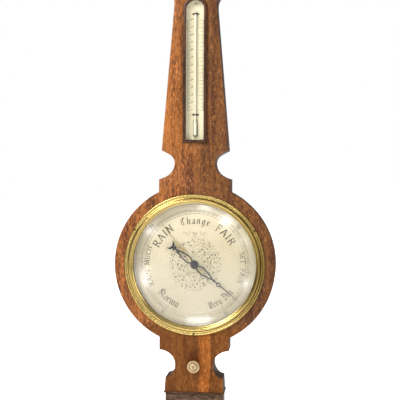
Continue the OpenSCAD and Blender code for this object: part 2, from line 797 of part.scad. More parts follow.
// The bridge straddles the capsule: feet beside it, a crossbar behind it, and two ears for the pivots.
module spring_bridge() {
    ear_x = 13;
    bar = 3;                // thickness of the crossbar and of the ears
    bar_z = deck_z + 4.5;
    bar_y = pivot_y - bar;
    foot = [8, 10, 2];
    side = [2.4, capsule_y - bar_y - 2.5, 9];
    color("goldenrod") stand() difference() {
        union() {
            translate([-bridge_x, bar_y, bar_z]) cube([2 * bridge_x, bar, bar]);
            mirrored() {
                translate([bridge_x - foot.x / 2, capsule_y - foot.y / 2, deck_z]) cube(foot);
                translate([bridge_x - side.x / 2, bar_y, deck_z]) cube(side);
                translate([ear_x, bar_y, bar_z]) cube([bar, 2 * bar, pivot_z + bar - bar_z]);
            }
        }
        cross_pin(-bridge_x - through, pivot_y, pivot_z, pivot_screw_r + fit_gap, 2 * (bridge_x + through));
        mirrored() at(bridge_x, capsule_y, deck_z - through)
            cylinder(r = plate_screw_r + fit_gap, h = foot.z + 2 * through, $fn = pin_facets);
    }
}

module bridge_screws() {
    color("silver") stand() mirrored() at(bridge_x, capsule_y, plate_z - plate_screw_head[1])
        rear_screw(plate_screw_head, plate_screw_r, plate_t + 1.9);
}

pivot_tip_x = 9.9;
pivot_shank_l = 7.3;

// Two screws, threaded through the bridge's ears, whose points carry the mainspring.
module pivot_screws() {
    head = [2.2, 1.6];
    color("silver") stand() mirrored() {
        cross_pin(pivot_tip_x, pivot_y, pivot_z, pivot_screw_r, pivot_shank_l);
        difference() {
            cross_pin(pivot_tip_x + pivot_shank_l, pivot_y, pivot_z, head[0], head[1]);
            translate([pivot_tip_x + pivot_shank_l + head[1] - driver_slot[1], pivot_y - head[0] - through,
                pivot_z - driver_slot[0] / 2]) cube([head[1], 2 * (head[0] + through), driver_slot[0]]);
        }
    }
}

spring_half = 9.5;          // half the width of the mainspring and of the lever's foot

// C-shaped leaf spring: it hangs in the pivots at its fold and holds the capsule's stud at its free end.
module mainspring() {
    fold = 2;               // half the thickness of the fold
    cup_x = spring_half - 0.1;
    color("steelblue") stand() difference() {
        union() {
            translate([-spring_half, pivot_y - fold, pivot_z - fold])
                cube([2 * spring_half, 2 * fold, 2 * fold]);
            translate([-spring_half, pivot_y, lever_z - lever_t])
                cube([2 * spring_half, capsule_y - pivot_y + 7, lever_t]);
            mirrored() cross_pin(cup_x, pivot_y, pivot_z, fold, 1.2);
        }
        mirrored() cross_pin(cup_x + 0.2, pivot_y, pivot_z, pivot_screw_r + running, 3);
        slab(lever_z - lever_t - through, lever_z + through) at(0, capsule_y)
            circle(r = stud_r + 0.15, $fn = pin_facets);
    }
}

// Flat lever fixed on top of the spring, then a long arm beside the arbor to the rocking bar.
module main_lever() {
    end_y = crank_end.x;
    arm_half = 1.4;
    fork_half = 0.6;
    stud_room_r = 2.4;
    color("goldenrod") stand() difference() {
        union() {
            slab(lever_z, lever_z + lever_t) polygon([[-spring_half, capsule_y - 6], [6, capsule_y - 6],
                [6, capsule_y + 6], [lever_x + 2, capsule_y + 14], [lever_x + arm_half, end_y + 2.4],
                [lever_x - arm_half, end_y + 2.4], [lever_x - 2, capsule_y + 10],
                [-spring_half, capsule_y + 2]]);
            cross_pin(lever_x - arm_half, end_y, link_z, 1.5, 2 * arm_half);
        }
        slab(lever_z - through, lever_z + lever_t + through) at(0, capsule_y)
            circle(r = stud_room_r, $fn = pin_facets);
        translate([lever_x - fork_half, end_y - 3, link_z - 3]) cube([2 * fork_half, 6, 8]);
        cross_pin(lever_x - 2 * arm_half, end_y, link_z, link_pin_r + fit_gap, 4 * arm_half);
    }
}

// Flat link between the lever's end and the crank, with its upper pin.
module lever_link() {
    foot_z = crank_end.y + 0.75;
    half_t = 0.4;
    color("silver") stand() {
        translate([lever_x - half_t, crank_end.x - 1, foot_z - 0.15])
            cube([2 * half_t, 2, link_z - foot_z + 0.55]);
        cross_pin(lever_x - 1.3, crank_end.x, link_z, link_pin_r - 0.03, 2.6);
        cross_pin(lever_x - half_t, crank_end.x, foot_z, 1, 2 * half_t);
    }
}

rocker_shaft_x = [-23.4, 9.6];

// A shaft across the movement, the forked crank under the link, and the upright arm that pulls the chain.
module rocking_bar() {
    crank_half = [1.6, 0.9];
    crank_slot_half = 0.7;
    arm_half = [0.7, 0.9];
    color("silver") stand() translate([0, rocker_y, rocker_z]) rotate([rocker_lean, 0, 0]) {
        cross_pin(rocker_shaft_x[0], 0, 0, rocker_shaft_r, rocker_shaft_x[1] - rocker_shaft_x[0]);
        difference() {
            translate([lever_x - crank_half.x, -crank_l - crank_half.y, -crank_half.y])
                cube([2 * crank_half.x, crank_l + crank_half.y, 2 * crank_half.y]);
            translate([lever_x - crank_slot_half, -crank_l - 2, -3]) cube([2 * crank_slot_half, 3.6, 6]);
        }
        translate([drum_r - arm_half.x, -arm_half.y, 0])
            cube([2 * arm_half.x, 2 * arm_half.y, upright_l + 0.4]);
    }
}

bracket_x = [-23, 7];       // left faces of the two brackets

module rocker_brackets() {
    half = 3;
    t = 2;
    color("goldenrod") stand() for (x = bracket_x) difference() {
        union() {
            translate([x, rocker_y - half, deck_z]) cube([t, 2 * half, rocker_z - deck_z]);
            cross_pin(x, rocker_y, rocker_z, half, t);
            translate([x - t, rocker_y - half, deck_z]) cube([3 * t, 2 * half, 1]);
        }
        cross_pin(x - through, rocker_y, rocker_z, rocker_shaft_r + running, t + 2 * through);
    }
}

chain_z = (drum_z[0] + drum_z[1]) / 2 - 0.1;
chain_pitch = 1.5;
chain_link = [0.22, chain_pitch + 0.3, 0.7];
chain_stagger = 0.12;

// The straight run of the fine chain, as flat links on edge, from the drum to the upright arm.
module chain() {
    foot_y = 1.5;
    tip_y = rocker_y - upright_l * sin(rocker_lean) - 1.3;
    count = floor((tip_y - foot_y) / chain_pitch);
    color("dimgray") stand() for (i = [0:count - 1])
        translate([drum_r + running + (i % 2) * chain_stagger, tip_y - (i + 1) * chain_pitch,
            chain_z - chain_link.z / 2]) cube(chain_link);
}

// Two plates, one under and one over the drum, each on both posts.
module arbor_bridge() {
    arm = 3;
    boss_r = 4.5;
    color("goldenrod") stand() for (z = [lower_bridge_z, upper_bridge_z]) slab(z, z + bridge_t) difference() {
        union() {
            circle(r = boss_r, $fn = 48);
            polygon([[-4, 0], [4, 0], [post_place.x + arm, post_place.y], [post_place.x, post_place.y + arm],
                [-post_place.x, post_place.y + arm], [-post_place.x - arm, post_place.y]]);
        }
        circle(r = arbor_r + running, $fn = pin_facets);
        mirrored() at(post_place.x, post_place.y) circle(r = post_neck_r + fit_gap, $fn = pin_facets);
    }
}

// Stepped posts: the two bridge plates sit on their shoulders.
module bridge_posts() {
    color("goldenrod") stand() mirrored() at(post_place.x, post_place.y) {
        slab(deck_z, lower_bridge_z) circle(r = post_r, $fn = pin_facets);
        slab(deck_z, upper_bridge_z + bridge_t) circle(r = post_neck_r, $fn = pin_facets);
        slab(lower_bridge_z + bridge_t, upper_bridge_z) circle(r = post_r, $fn = pin_facets);
    }
}

hairspring_z = [22.5, 23.3];
hairspring_r = [1.75, 7.4];
hairspring_turns = 4;
hairspring_half_t = 0.09;
hairspring_end = 45;

// A point on the flat spiral, i steps of many from the collet, moved outwards by off.
function spiral(i, steps, off) =
    let (a = hairspring_end + 360 * hairspring_turns * (i / steps - 1),
        r = hairspring_r[0] + (hairspring_r[1] - hairspring_r[0]) * i / steps + off)
    [r * cos(a), r * sin(a)];

module hairspring() {
    steps = 96;
    color("steelblue") stand() slab(hairspring_z[0], hairspring_z[1]) polygon(concat(
        [for (i = [0:steps]) spiral(i, steps, hairspring_half_t)],
        [for (i = [steps:-1:0]) spiral(i, steps, -hairspring_half_t)]));
}

module hairspring_stud() {
    stud = 0.9;
    foot_z = lower_bridge_z + bridge_t;
    color("goldenrod") stand() rotate(hairspring_end) at(hairspring_r[1] + hairspring_half_t + stud, 0)
        slab(foot_z, foot_z + 2) circle(r = stud, $fn = 24);
}

module adjusting_screw() {
    shank_foot_z = 5.3;
    shank_l = 7;
    head = [4, 2.4];
    slot = [1, 1.2];
    color("silver") stand() at(0, adjuster_y, shank_foot_z) rotate(25) {
        cylinder(r = adjuster_r, h = shank_l, $fn = pin_facets);
        mirror([0, 0, 1]) difference() {
            cylinder(r = head[0], h = head[1], $fn = 48);
            translate([-head[0] - through, -slot[0] / 2, head[1] - slot[1]])
                cube([2 * (head[0] + through), slot[0], head[1]]);
        }
    }
}

// ---------------------------------------------------------------- thermometer

bead_half = scale_w / 2 + bead_w;
bead_foot_h = 3;
bead_h = 5;
bead_step = 1.1;
thermo_glass_t = 1.2;
rebate = 2.4;
rebate_gap = 0.1;
scale_t = 1.2;
scale_z = thermo_pocket_z + scale_t;
tube_r = 1.9;
bulb_r = 2.8;
bulb_wall = 0.5;
bore_r = 0.55;
slot_y = [scale_y0 + 5.6, scale_y0 + 37.6];
slot_half = 3.8;
slot_point = 6;             // height of the slot's pointed top
bulb_y = [slot_y[0] + 0.8, slot_y[1] - 4];
column_y = scale_y0 + 142;
tube_top = scale_arch_y - 1.5;
clip_y = [slot_y[1] + 3.7, tube_top - 5.5];
tube_z = scale_z + bulb_r + 0.1;

module thermometer_bead() {
    color("saddlebrown") stand() difference() {
        union() {
            slab(case_depth, case_depth + bead_foot_h)
                arch_outline(bead_half, scale_y0 - bead_w, scale_arch_y);
            slab(case_depth + bead_foot_h, case_depth + bead_h)
                arch_outline(bead_half - bead_step, scale_y0 - bead_w + bead_step, scale_arch_y);
        }
        slab(case_depth - through, case_depth + 2 * bead_h) arch_outline(scale_w / 2, scale_y0, scale_arch_y);
        slab(case_depth - through, case_depth + thermo_glass_t + rebate_gap)
            arch_outline(scale_w / 2 + rebate + rebate_gap, scale_y0 - rebate - rebate_gap, scale_arch_y);
    }
}

module thermometer_glass() {
    color("white", 0.3) stand() slab(case_depth, case_depth + thermo_glass_t)
        arch_outline(scale_w / 2 + rebate, scale_y0 - rebate, scale_arch_y);
}

scale_screw_y = [scale_y0 + 3.4, scale_arch_y + 10];
scale_screw_r = 0.8;
scale_screw_head = [1.5, 0.5];

// The slot behind the bulb, with a pointed top.
module bulb_slot() {
    shoulder = slot_y[1] - slot_point;
    polygon([[-slot_half, slot_y[0]], [slot_half, slot_y[0]], [slot_half, shoulder], [0, slot_y[1]],
        [-slot_half, shoulder]]);
}

module thermometer_scale() {
    color("ivory") stand() slab(thermo_pocket_z, scale_z) difference() {
        arch_outline(scale_w / 2 + scale_lap, scale_y0 - scale_lap, scale_arch_y);
        bulb_slot();
        for (y = scale_screw_y) at(0, y) circle(r = scale_screw_r + fit_gap, $fn = 24);
    }
}

module scale_screws() {
    color("silver") stand() for (y = scale_screw_y) at(0, y, scale_z)
        screw(scale_screw_head, scale_screw_r, scale_t);
}

// Turns a profile of [radius, height above the bulb's foot] round the tube's axis.
module tube_turned(profile, sides) {
    translate([0, bulb_y[0], tube_z]) rotate([-90, 0, 0]) rotate_extrude($fn = sides) polygon(profile);
}

bulb_h = bulb_y[1] - bulb_y[0];
bulb_neck_h = 6;
tube_h = tube_top - bulb_y[0];
column_h = column_y - bulb_y[0];

// The space inside the glass, up to height top, moved outwards by slack.
function bore_profile(top, slack) =
    let (r = bulb_r - bulb_wall + slack)
    concat(arc(r, -90, 0, 6, 0, bulb_r),
        [[r, bulb_h - bulb_neck_h], [bore_r + slack, bulb_h - 1], [bore_r + slack, top], [0, top]]);

module thermometer_tube() {
    shoulder = [bulb_r, bulb_h - bulb_neck_h];
    middle_h = bulb_h - bulb_neck_h / 2;
    color("white", 0.4) stand() difference() {
        tube_turned(concat(arc(bulb_r, -90, 0, 8, 0, bulb_r), [shoulder],
            curve(shoulder, [bulb_r, middle_h], [tube_r, middle_h], [tube_r, bulb_h], 6),
            arc(tube_r, 0, 90, 6, 0, tube_h - tube_r)), pin_facets);
        tube_turned(bore_profile(tube_h - 6, fit_gap), 24);
    }
}

module mercury() {
    color("silver") stand() tube_turned(bore_profile(column_h, 0), 24);
}

// Two clips over the tube, each a saddle between two pointed feet on the scale.
module tube_clips() {
    foot_half = 2 * tube_r + 3;
    foot_t = 0.5;
    saddle_r = tube_r + 0.6;
    saddle_w = 2.2;
    color("darkolivegreen") stand() for (y = clip_y) difference() {
        union() {
            slab(scale_z, scale_z + foot_t)
                polygon([[-foot_half, y], [-saddle_r, y - 2], [saddle_r, y - 2], [foot_half, y],
                    [saddle_r, y + 2], [-saddle_r, y + 2]]);
            translate([0, y - saddle_w / 2, tube_z]) rotate([-90, 0, 0])
                cylinder(r = saddle_r, h = saddle_w, $fn = pin_facets);
            translate([-saddle_r, y - saddle_w / 2, scale_z])
                cube([2 * saddle_r, saddle_w, tube_z - scale_z]);
        }
        translate([0, y - 2 * saddle_w, tube_z]) rotate([-90, 0, 0])
            cylinder(r = tube_r + running, h = 4 * saddle_w, $fn = pin_facets);
    }
}

// ---------------------------------------------------------------- assembly

case_body();
front_veneer();
base_bead();
base_plinth();
plinth_moulding();
cornice();
pediment_boards();
pediment_mouldings();
scroll_rosettes();
finial_block();
finial();
rear_cover();
rear_cover_screws();
channel_cover();
channel_cover_screws();
hanger_plate();
hanger_screws();
bezel();
bezel_screws();
dial_glass();
glass_ring();
dial_plate();
dial_pillars();
dial_bush();
indicator_hand();
hand_collet();
pointer_arbor();
set_hand();
set_hand_pipe();
set_hand_pulley();
drive_cord();
knob();
knob_spindle();
knob_bush();
knob_pulley();
movement_plate();
plate_screws();
capsule();
capsule_stud();
spring_bridge();
bridge_screws();
pivot_screws();
mainspring();
main_lever();
lever_link();
rocking_bar();
rocker_brackets();
chain();
arbor_bridge();
bridge_posts();
hairspring();
hairspring_stud();
adjusting_screw();
thermometer_bead();
thermometer_glass();
thermometer_scale();
thermometer_tube();
mercury();
tube_clips();
scale_screws();
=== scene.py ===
"""Looks for a banjo-cased aneroid barometer: woods, brass, glass, engraved dial, light and camera.

Everything is in metres in the row frame: +Z is up, the dial looks along -Y, and the origin is on the wall
behind the middle of the dial. Shapes that are laid out in millimetres are scaled by MM as they are built.
"""

import json
import math
import random

import bpy
from mathutils import Matrix, Vector
from mathutils.geometry import convex_hull_2d

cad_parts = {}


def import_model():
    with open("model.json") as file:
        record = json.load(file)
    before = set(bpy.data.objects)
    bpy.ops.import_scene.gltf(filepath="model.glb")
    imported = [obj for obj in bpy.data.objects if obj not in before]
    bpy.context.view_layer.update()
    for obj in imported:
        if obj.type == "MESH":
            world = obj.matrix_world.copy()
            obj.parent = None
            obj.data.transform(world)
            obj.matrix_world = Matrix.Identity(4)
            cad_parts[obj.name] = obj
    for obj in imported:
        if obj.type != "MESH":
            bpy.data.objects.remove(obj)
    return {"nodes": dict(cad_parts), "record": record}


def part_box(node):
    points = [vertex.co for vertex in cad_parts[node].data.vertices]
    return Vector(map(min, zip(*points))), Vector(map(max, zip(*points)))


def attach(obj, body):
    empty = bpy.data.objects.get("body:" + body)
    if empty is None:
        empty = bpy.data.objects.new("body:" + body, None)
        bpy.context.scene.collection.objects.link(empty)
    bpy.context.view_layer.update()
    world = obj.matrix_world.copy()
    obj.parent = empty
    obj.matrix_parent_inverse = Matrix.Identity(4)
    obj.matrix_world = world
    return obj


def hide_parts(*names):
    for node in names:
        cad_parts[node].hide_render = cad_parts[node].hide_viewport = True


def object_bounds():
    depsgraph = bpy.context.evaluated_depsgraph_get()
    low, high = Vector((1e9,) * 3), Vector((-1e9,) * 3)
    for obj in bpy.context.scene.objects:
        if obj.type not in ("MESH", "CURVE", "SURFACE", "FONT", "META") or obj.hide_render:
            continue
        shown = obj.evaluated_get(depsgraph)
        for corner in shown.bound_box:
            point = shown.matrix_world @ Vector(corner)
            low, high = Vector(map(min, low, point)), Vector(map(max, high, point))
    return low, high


MM = 0.001
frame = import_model()
cad_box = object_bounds()
nodes = frame["nodes"]


# ---------------------------------------------------------------- node graphs

def srgb(r, g, b):
    """Linear colour of an sRGB triple in 0..255."""
    return tuple(((c / 255 + 0.055) / 1.055) ** 2.4 if c > 10 else c / 255 / 12.92 for c in (r, g, b))


def rgba(colour):
    """A socket as it is, or a linear colour triple with full alpha."""
    return colour if isinstance(colour, bpy.types.NodeSocket) else (*colour, 1.0)


class Graph:
    """One material's node tree, with short calls for the nodes used here."""

    def __init__(self, name):
        self.material = bpy.data.materials.new(name)
        self.material.use_nodes = True
        self.tree = self.material.node_tree
        self.tree.nodes.clear()
        self.place = self.add("ShaderNodeTexCoord").outputs["Object"]

    def feed(self, socket, value):
        """Links a socket's value in, or sets it if it is a plain value."""
        if isinstance(value, bpy.types.NodeSocket):
            self.tree.links.new(value, socket)
        else:
            socket.default_value = value

    def add(self, kind, inputs=None, **settings):
        """A node of that kind, with its settings made and its inputs fed."""
        node = self.tree.nodes.new(kind)
        for key, value in settings.items():
            setattr(node, key, value)
        for key, value in (inputs or {}).items():
            self.feed(node.inputs[key], value)
        return node

    def axes(self):
        """The x, y and z of the shaded point, in metres."""
        return self.add("ShaderNodeSeparateXYZ", {0: self.place}).outputs

    def calc(self, operation, a, b=0.0, clamp=False):
        return self.add("ShaderNodeMath", {0: a, 1: b}, operation=operation, use_clamp=clamp).outputs[0]

    def step(self, value, low, high):
        """0 below low, 1 above high, smooth in between."""
        span = {"Value": value, "From Min": low, "From Max": high}
        return self.add("ShaderNodeMapRange", span, interpolation_type="SMOOTHSTEP").outputs[0]

    def between(self, value, low, high, soft):
        """1 from low to high, falling to 0 over soft on either side."""
        rise = self.step(value, low - soft, low + soft)
        fall = self.step(value, high + soft, high - soft)
        return self.calc("MULTIPLY", rise, fall)

    def noise(self, stretch, detail, rough=0.5, distortion=0.0, place=None):
        """Noise whose grain has 1 / stretch metres along each axis."""
        scaled = self.add("ShaderNodeVectorMath", {0: place or self.place, 1: stretch}, operation="MULTIPLY")
        settings = {"Vector": scaled.outputs[0], "Scale": 1.0, "Detail": detail, "Roughness": rough,
                    "Distortion": distortion}
        return self.add("ShaderNodeTexNoise", settings).outputs["Fac"]

    def mix(self, factor, a, b):
        """The colour a where factor is 0 and b where it is 1."""
        node = self.add("ShaderNodeMix", data_type="RGBA")
        self.feed(node.inputs[0], factor)
        self.feed(node.inputs[6], rgba(a))
        self.feed(node.inputs[7], rgba(b))
        return node.outputs[2]

    def bump(self, height, depth):
        """Raises the surface by up to depth metres where height is 1."""
        return self.add("ShaderNodeBump", {"Height": height, "Distance": depth, "Strength": 1.0}).outputs[0]

    def principled(self, colour, **inputs):
        """The standard surface; specular_ior_level=0.1 feeds the input Specular IOR Level, and so on."""
        values = {}
        for key, value in inputs.items():
            values[key.replace("_", " ").title().replace("Ior", "IOR")] = value
        node = self.add("ShaderNodeBsdfPrincipled", values)
        self.feed(node.inputs["Base Color"], rgba(colour))
        return node.outputs[0]

    def finish(self, shader):
        self.add("ShaderNodeOutputMaterial", {"Surface": shader})
        return self.material


# ---------------------------------------------------------------- woods

def along(axis, across, lengthwise):
    """Noise stretch whose grain runs along one axis."""
    return tuple(lengthwise if name == axis else across for name in "XYZ")


def figured_wood(g, axis, dark, light):
    """Figured mahogany between two tones, as (colour, height): bands, streaks, flecks, pores and scuffs."""
    fleck = g.noise(along(axis, 520, 110), detail=2, rough=0.65)
    streak = g.noise(along(axis, 150, 9), detail=4, rough=0.6, distortion=0.4)
    pore = g.noise(along(axis, 1900, 130), detail=1)
    band = g.noise(along(axis, 34, 3.5), detail=2, distortion=0.8)
    tone = g.calc("ADD", g.calc("MULTIPLY", streak, 0.55), g.calc("MULTIPLY", band, 0.45))
    colour = g.mix(g.step(tone, 0.39, 0.61), dark, light)
    deep = tuple(0.42 * c for c in dark)
    pale = tuple(1.4 * c for c in light)
    scuffed = tuple(1.7 * c + rise for c, rise in zip(light, (0.05, 0.03, 0.012)))
    colour = g.mix(g.calc("MULTIPLY", g.step(fleck, 0.52, 0.68), 0.65), colour, pale)
    colour = g.mix(g.calc("MULTIPLY", g.step(fleck, 0.47, 0.33), 0.8), colour, deep)
    colour = g.mix(g.calc("MULTIPLY", g.step(pore, 0.6, 0.72), 0.6), colour, deep)
    scuff = g.noise(along(axis, 300, 150), detail=3, rough=0.75)
    colour = g.mix(g.calc("MULTIPLY", g.step(scuff, 0.56, 0.68), 0.7), colour, scuffed)
    sunk = g.calc("MULTIPLY", g.step(pore, 0.55, 0.7), 0.6)
    return colour, g.calc("SUBTRACT", g.calc("MULTIPLY", fleck, 0.4), sunk)


def polished_wood(g, colour, height, roughness, coat, sheen=0.12):
    """An old, patchy polish over a wood's colour and height."""
    smear = g.noise((22, 22, 9), detail=4, rough=0.65)
    rough = g.calc("ADD", roughness - 0.1, g.calc("MULTIPLY", smear, 0.22))
    return g.finish(g.principled(colour, roughness=rough, coat_weight=coat, coat_roughness=0.16,
                                 specular_ior_level=sheen, normal=g.bump(height, 0.12 * MM)))


def plain_wood(name, axis, dark, light, roughness=0.5, coat=0.03):
    """Polished wood of one colour, its grain along one axis."""
    g = Graph(name)
    colour, height = figured_wood(g, axis, dark, light)
    return polished_wood(g, colour, height, roughness, coat)


STRIP_FROM, STRIP_TO = 8 * MM, 27 * MM
BODY_FOOT = -92 * MM
BLOCK_TOP = -112 * MM


def front_wood():
    """The veneered front, paler on the trunk's left, partly the veneer's tone and partly painted sheen; below
    the dial a strip, a joint and a dark patch.
    """
    g = Graph("front_wood")
    across, _, z = g.axes()
    waver = g.calc("SUBTRACT", g.noise((60, 60, 14), detail=3), 0.5)
    x = g.calc("ADD", across, g.calc("MULTIPLY", waver, 14 * MM))
    orange, height = figured_wood(g, "Z", srgb(70, 36, 14), srgb(122, 72, 32))
    brown, _ = figured_wood(g, "Z", srgb(55, 28, 12), srgb(89, 54, 24))

    def tint(colour, amount, strength, towards):
        """The colour pushed by strength towards an sRGB tone where amount is 1."""
        return g.mix(g.calc("MULTIPLY", amount, strength), colour, srgb(*towards))

    orange = tint(orange, g.between(z, 190 * MM, 270 * MM, 40 * MM), 0.28, (150, 90, 34))
    lower = g.step(z, BODY_FOOT, BLOCK_TOP)
    # Paler left, browner right: the veneer's own tones, with a painted sheen on the left besides.
    right = g.calc("MULTIPLY", g.step(x, -26 * MM, 20 * MM), g.calc("SUBTRACT", 1.0, lower))
    strip = g.calc("MULTIPLY", g.between(x, STRIP_FROM, STRIP_TO, 2.5 * MM), lower)
    left_of_strip = g.calc("MULTIPLY", lower, g.step(x, STRIP_FROM, STRIP_FROM - 4 * MM))
    orange = tint(orange, strip, 0.3, (156, 88, 28))
    brown = tint(brown, lower, 0.4, (104, 60, 18))
    brown = tint(brown, left_of_strip, 0.22, (52, 26, 9))
    beside = g.calc("MULTIPLY", g.calc("SUBTRACT", lower, strip), 0.9)
    colour = g.mix(g.calc("ADD", g.calc("MULTIPLY", right, 0.93), beside, clamp=True), orange, brown)
    joint = g.between(x, STRIP_TO + 1.2 * MM, STRIP_TO + 2.2 * MM, 0.5 * MM)
    colour = tint(colour, g.calc("MULTIPLY", lower, joint), 0.7, (44, 22, 10))
    patch = g.calc("MULTIPLY", g.between(z, -166 * MM, -140 * MM, 9 * MM),
                   g.between(x, -9 * MM, 10 * MM, 7 * MM))
    colour = tint(colour, patch, 0.72, (58, 24, 8))
    # Painted shade: the arrises and sides, which turn away from the front, are darkened.
    normal = g.add("ShaderNodeNewGeometry").outputs["Normal"]
    facing = g.calc("MULTIPLY", g.add("ShaderNodeSeparateXYZ", {0: normal}).outputs[1], -1.0)
    colour = tint(colour, g.step(facing, 0.98, 0.75), 0.85, (30, 16, 8))
    sheen = g.calc("SUBTRACT", 0.12, g.calc("MULTIPLY", lower, 0.08))
    return polished_wood(g, colour, height, roughness=0.48, coat=0.03, sheen=sheen)


# ---------------------------------------------------------------- metals, dial, glass, bone, cord

def metal(name, colour, dark, roughness, blotch=0.35, turned=False):
    """Metal with faint oxide blotches; turned metal has lathe rings round the dial axis and painted shade on
    its flanks, deepest on the right.
    """
    g = Graph(name)
    stain = g.noise((70, 70, 70), detail=5, rough=0.6)
    shade = g.mix(g.calc("MULTIPLY", g.step(stain, 0.48, 0.75), blotch), colour, dark)
    fine = g.noise((900, 900, 900), detail=2)
    if turned:
        x, _, z = g.axes()
        radius = g.calc("SQRT", g.calc("ADD", g.calc("MULTIPLY", x, x), g.calc("MULTIPLY", z, z)))
        side = g.calc("DIVIDE", x, radius)
        # Painted shade: the left and right flanks of turned metal darken, the right one most.
        flank_shade_weight = g.calc("ADD", 0.62, g.calc("MULTIPLY", side, 0.22))
        painted_flank_shade = g.calc("MULTIPLY", g.calc("MULTIPLY", side, side), flank_shade_weight)
        shade = g.mix(painted_flank_shade, shade, dark)
        ring = g.add("ShaderNodeCombineXYZ", {0: radius})
        fine = g.noise((900, 1, 1), detail=1, place=ring.outputs[0])
    rough = g.calc("ADD", roughness, g.calc("MULTIPLY", stain, 0.14))
    normal = g.bump(fine, 0.0012 * MM)
    return g.finish(g.principled(shade, metallic=1.0, roughness=rough, normal=normal))


def silvered(name, pale, yellow):
    """Silvered brass gone ivory, with painted shade darkening the foot of the dial, yellow stains and fine
    scratches.
    """
    g = Graph(name)
    low = g.step(g.axes()[2], 110 * MM, -60 * MM)
    cloud = g.noise((16, 16, 16), detail=4, rough=0.6)
    colour = g.mix(g.step(cloud, 0.35, 0.68), pale, yellow)
    # Painted shade: the colour darkens towards the foot of the dial.
    colour = g.mix(g.calc("MULTIPLY", low, 0.5), colour, (0.19, 0.165, 0.11))
    speck = g.noise((420, 420, 420), detail=2)
    colour = g.mix(g.calc("MULTIPLY", g.step(speck, 0.66, 0.76), 0.35), colour, srgb(150, 132, 96))
    scratch = g.noise((60, 60, 1500), detail=3)
    return g.finish(g.principled(colour, metallic=0.06, roughness=0.5, specular_ior_level=0.2,
                                 normal=g.bump(scratch, 0.006 * MM)))


def wax():
    """Black engraver's wax, worn pale in places."""
    g = Graph("engraving_wax")
    worn = g.noise((110, 110, 110), detail=5, rough=0.75)
    colour = g.mix(g.step(worn, 0.45, 0.7), srgb(40, 33, 22), srgb(132, 118, 88))
    normal = g.bump(worn, 0.01 * MM)
    return g.finish(g.principled(colour, roughness=0.6, specular_ior_level=0.1, normal=normal))


def glass(name, tint, edge):
    """Thin clear glass: light goes straight through, and it reflects more and gets darker edge on."""
    g = Graph(name)
    facing = g.add("ShaderNodeLayerWeight", {"Blend": 0.5}).outputs["Facing"]
    smear = g.noise((30, 30, 30), detail=3)
    body = g.add("ShaderNodeBsdfTransparent", {"Color": g.mix(g.calc("POWER", facing, 3.0), tint, edge)})
    shine = g.add("ShaderNodeBsdfGlossy", {"Roughness": g.calc("ADD", 0.12, g.calc("MULTIPLY", smear, 0.1))})
    head_on = 0.04
    mirror = g.calc("ADD", head_on, g.calc("MULTIPLY", g.calc("POWER", facing, 5.0), 1 - head_on))
    mixed = g.add("ShaderNodeMixShader", {0: mirror, 1: body.outputs[0], 2: shine.outputs[0]})
    return g.finish(mixed.outputs[0])


def milky_glass():
    """Old tube glass, clouded by age, so that it is paler than the plate behind it."""
    g = Graph("tube_glass")
    cloud = g.noise((300, 300, 90), detail=3)
    milk = g.add("ShaderNodeBsdfDiffuse", {"Color": g.mix(cloud, (0.62, 0.59, 0.45), (0.56, 0.53, 0.4))})
    clear = g.add("ShaderNodeBsdfTransparent", {"Color": (0.99, 0.99, 0.97, 1.0)})
    body = g.add("ShaderNodeMixShader", {0: 0.8, 1: clear.outputs[0], 2: milk.outputs[0]})
    shine = g.add("ShaderNodeBsdfGlossy", {"Roughness": 0.12})
    mixed = g.add("ShaderNodeMixShader", {0: 0.05, 1: body.outputs[0], 2: shine.outputs[0]})
    return g.finish(mixed.outputs[0])


def bone():
    """Turned bone, yellowed, with dark dirt in its fine pores."""
    g = Graph("bone")
    cloud = g.noise((90, 90, 90), detail=4, rough=0.6)
    colour = g.mix(g.step(cloud, 0.35, 0.7), srgb(150, 128, 92), srgb(114, 90, 57))
    pore = g.noise((700, 300, 700), detail=2)
    colour = g.mix(g.calc("MULTIPLY", g.step(pore, 0.6, 0.72), 0.5), colour, srgb(110, 80, 44))
    normal = g.bump(pore, 0.03 * MM)
    return g.finish(g.principled(colour, roughness=0.36, subsurface_weight=0.1, normal=normal))


def quicksilver():
    """Mercury behind glass, which spreads its highlights."""
    g = Graph("mercury")
    cloud = g.noise((200, 200, 60), detail=2)
    colour = g.mix(cloud, (0.7, 0.68, 0.58), (0.6, 0.58, 0.48))
    return g.finish(g.principled(colour, metallic=0.1, roughness=0.34))


def twisted_cord():
    """Old linen cord with a fine twist."""
    g = Graph("cord")
    twist = g.noise((1800, 1800, 500), detail=2)
    colour = g.mix(twist, srgb(150, 126, 88), srgb(214, 194, 150))
    return g.finish(g.principled(colour, roughness=0.9, normal=g.bump(twist, 0.1 * MM)))


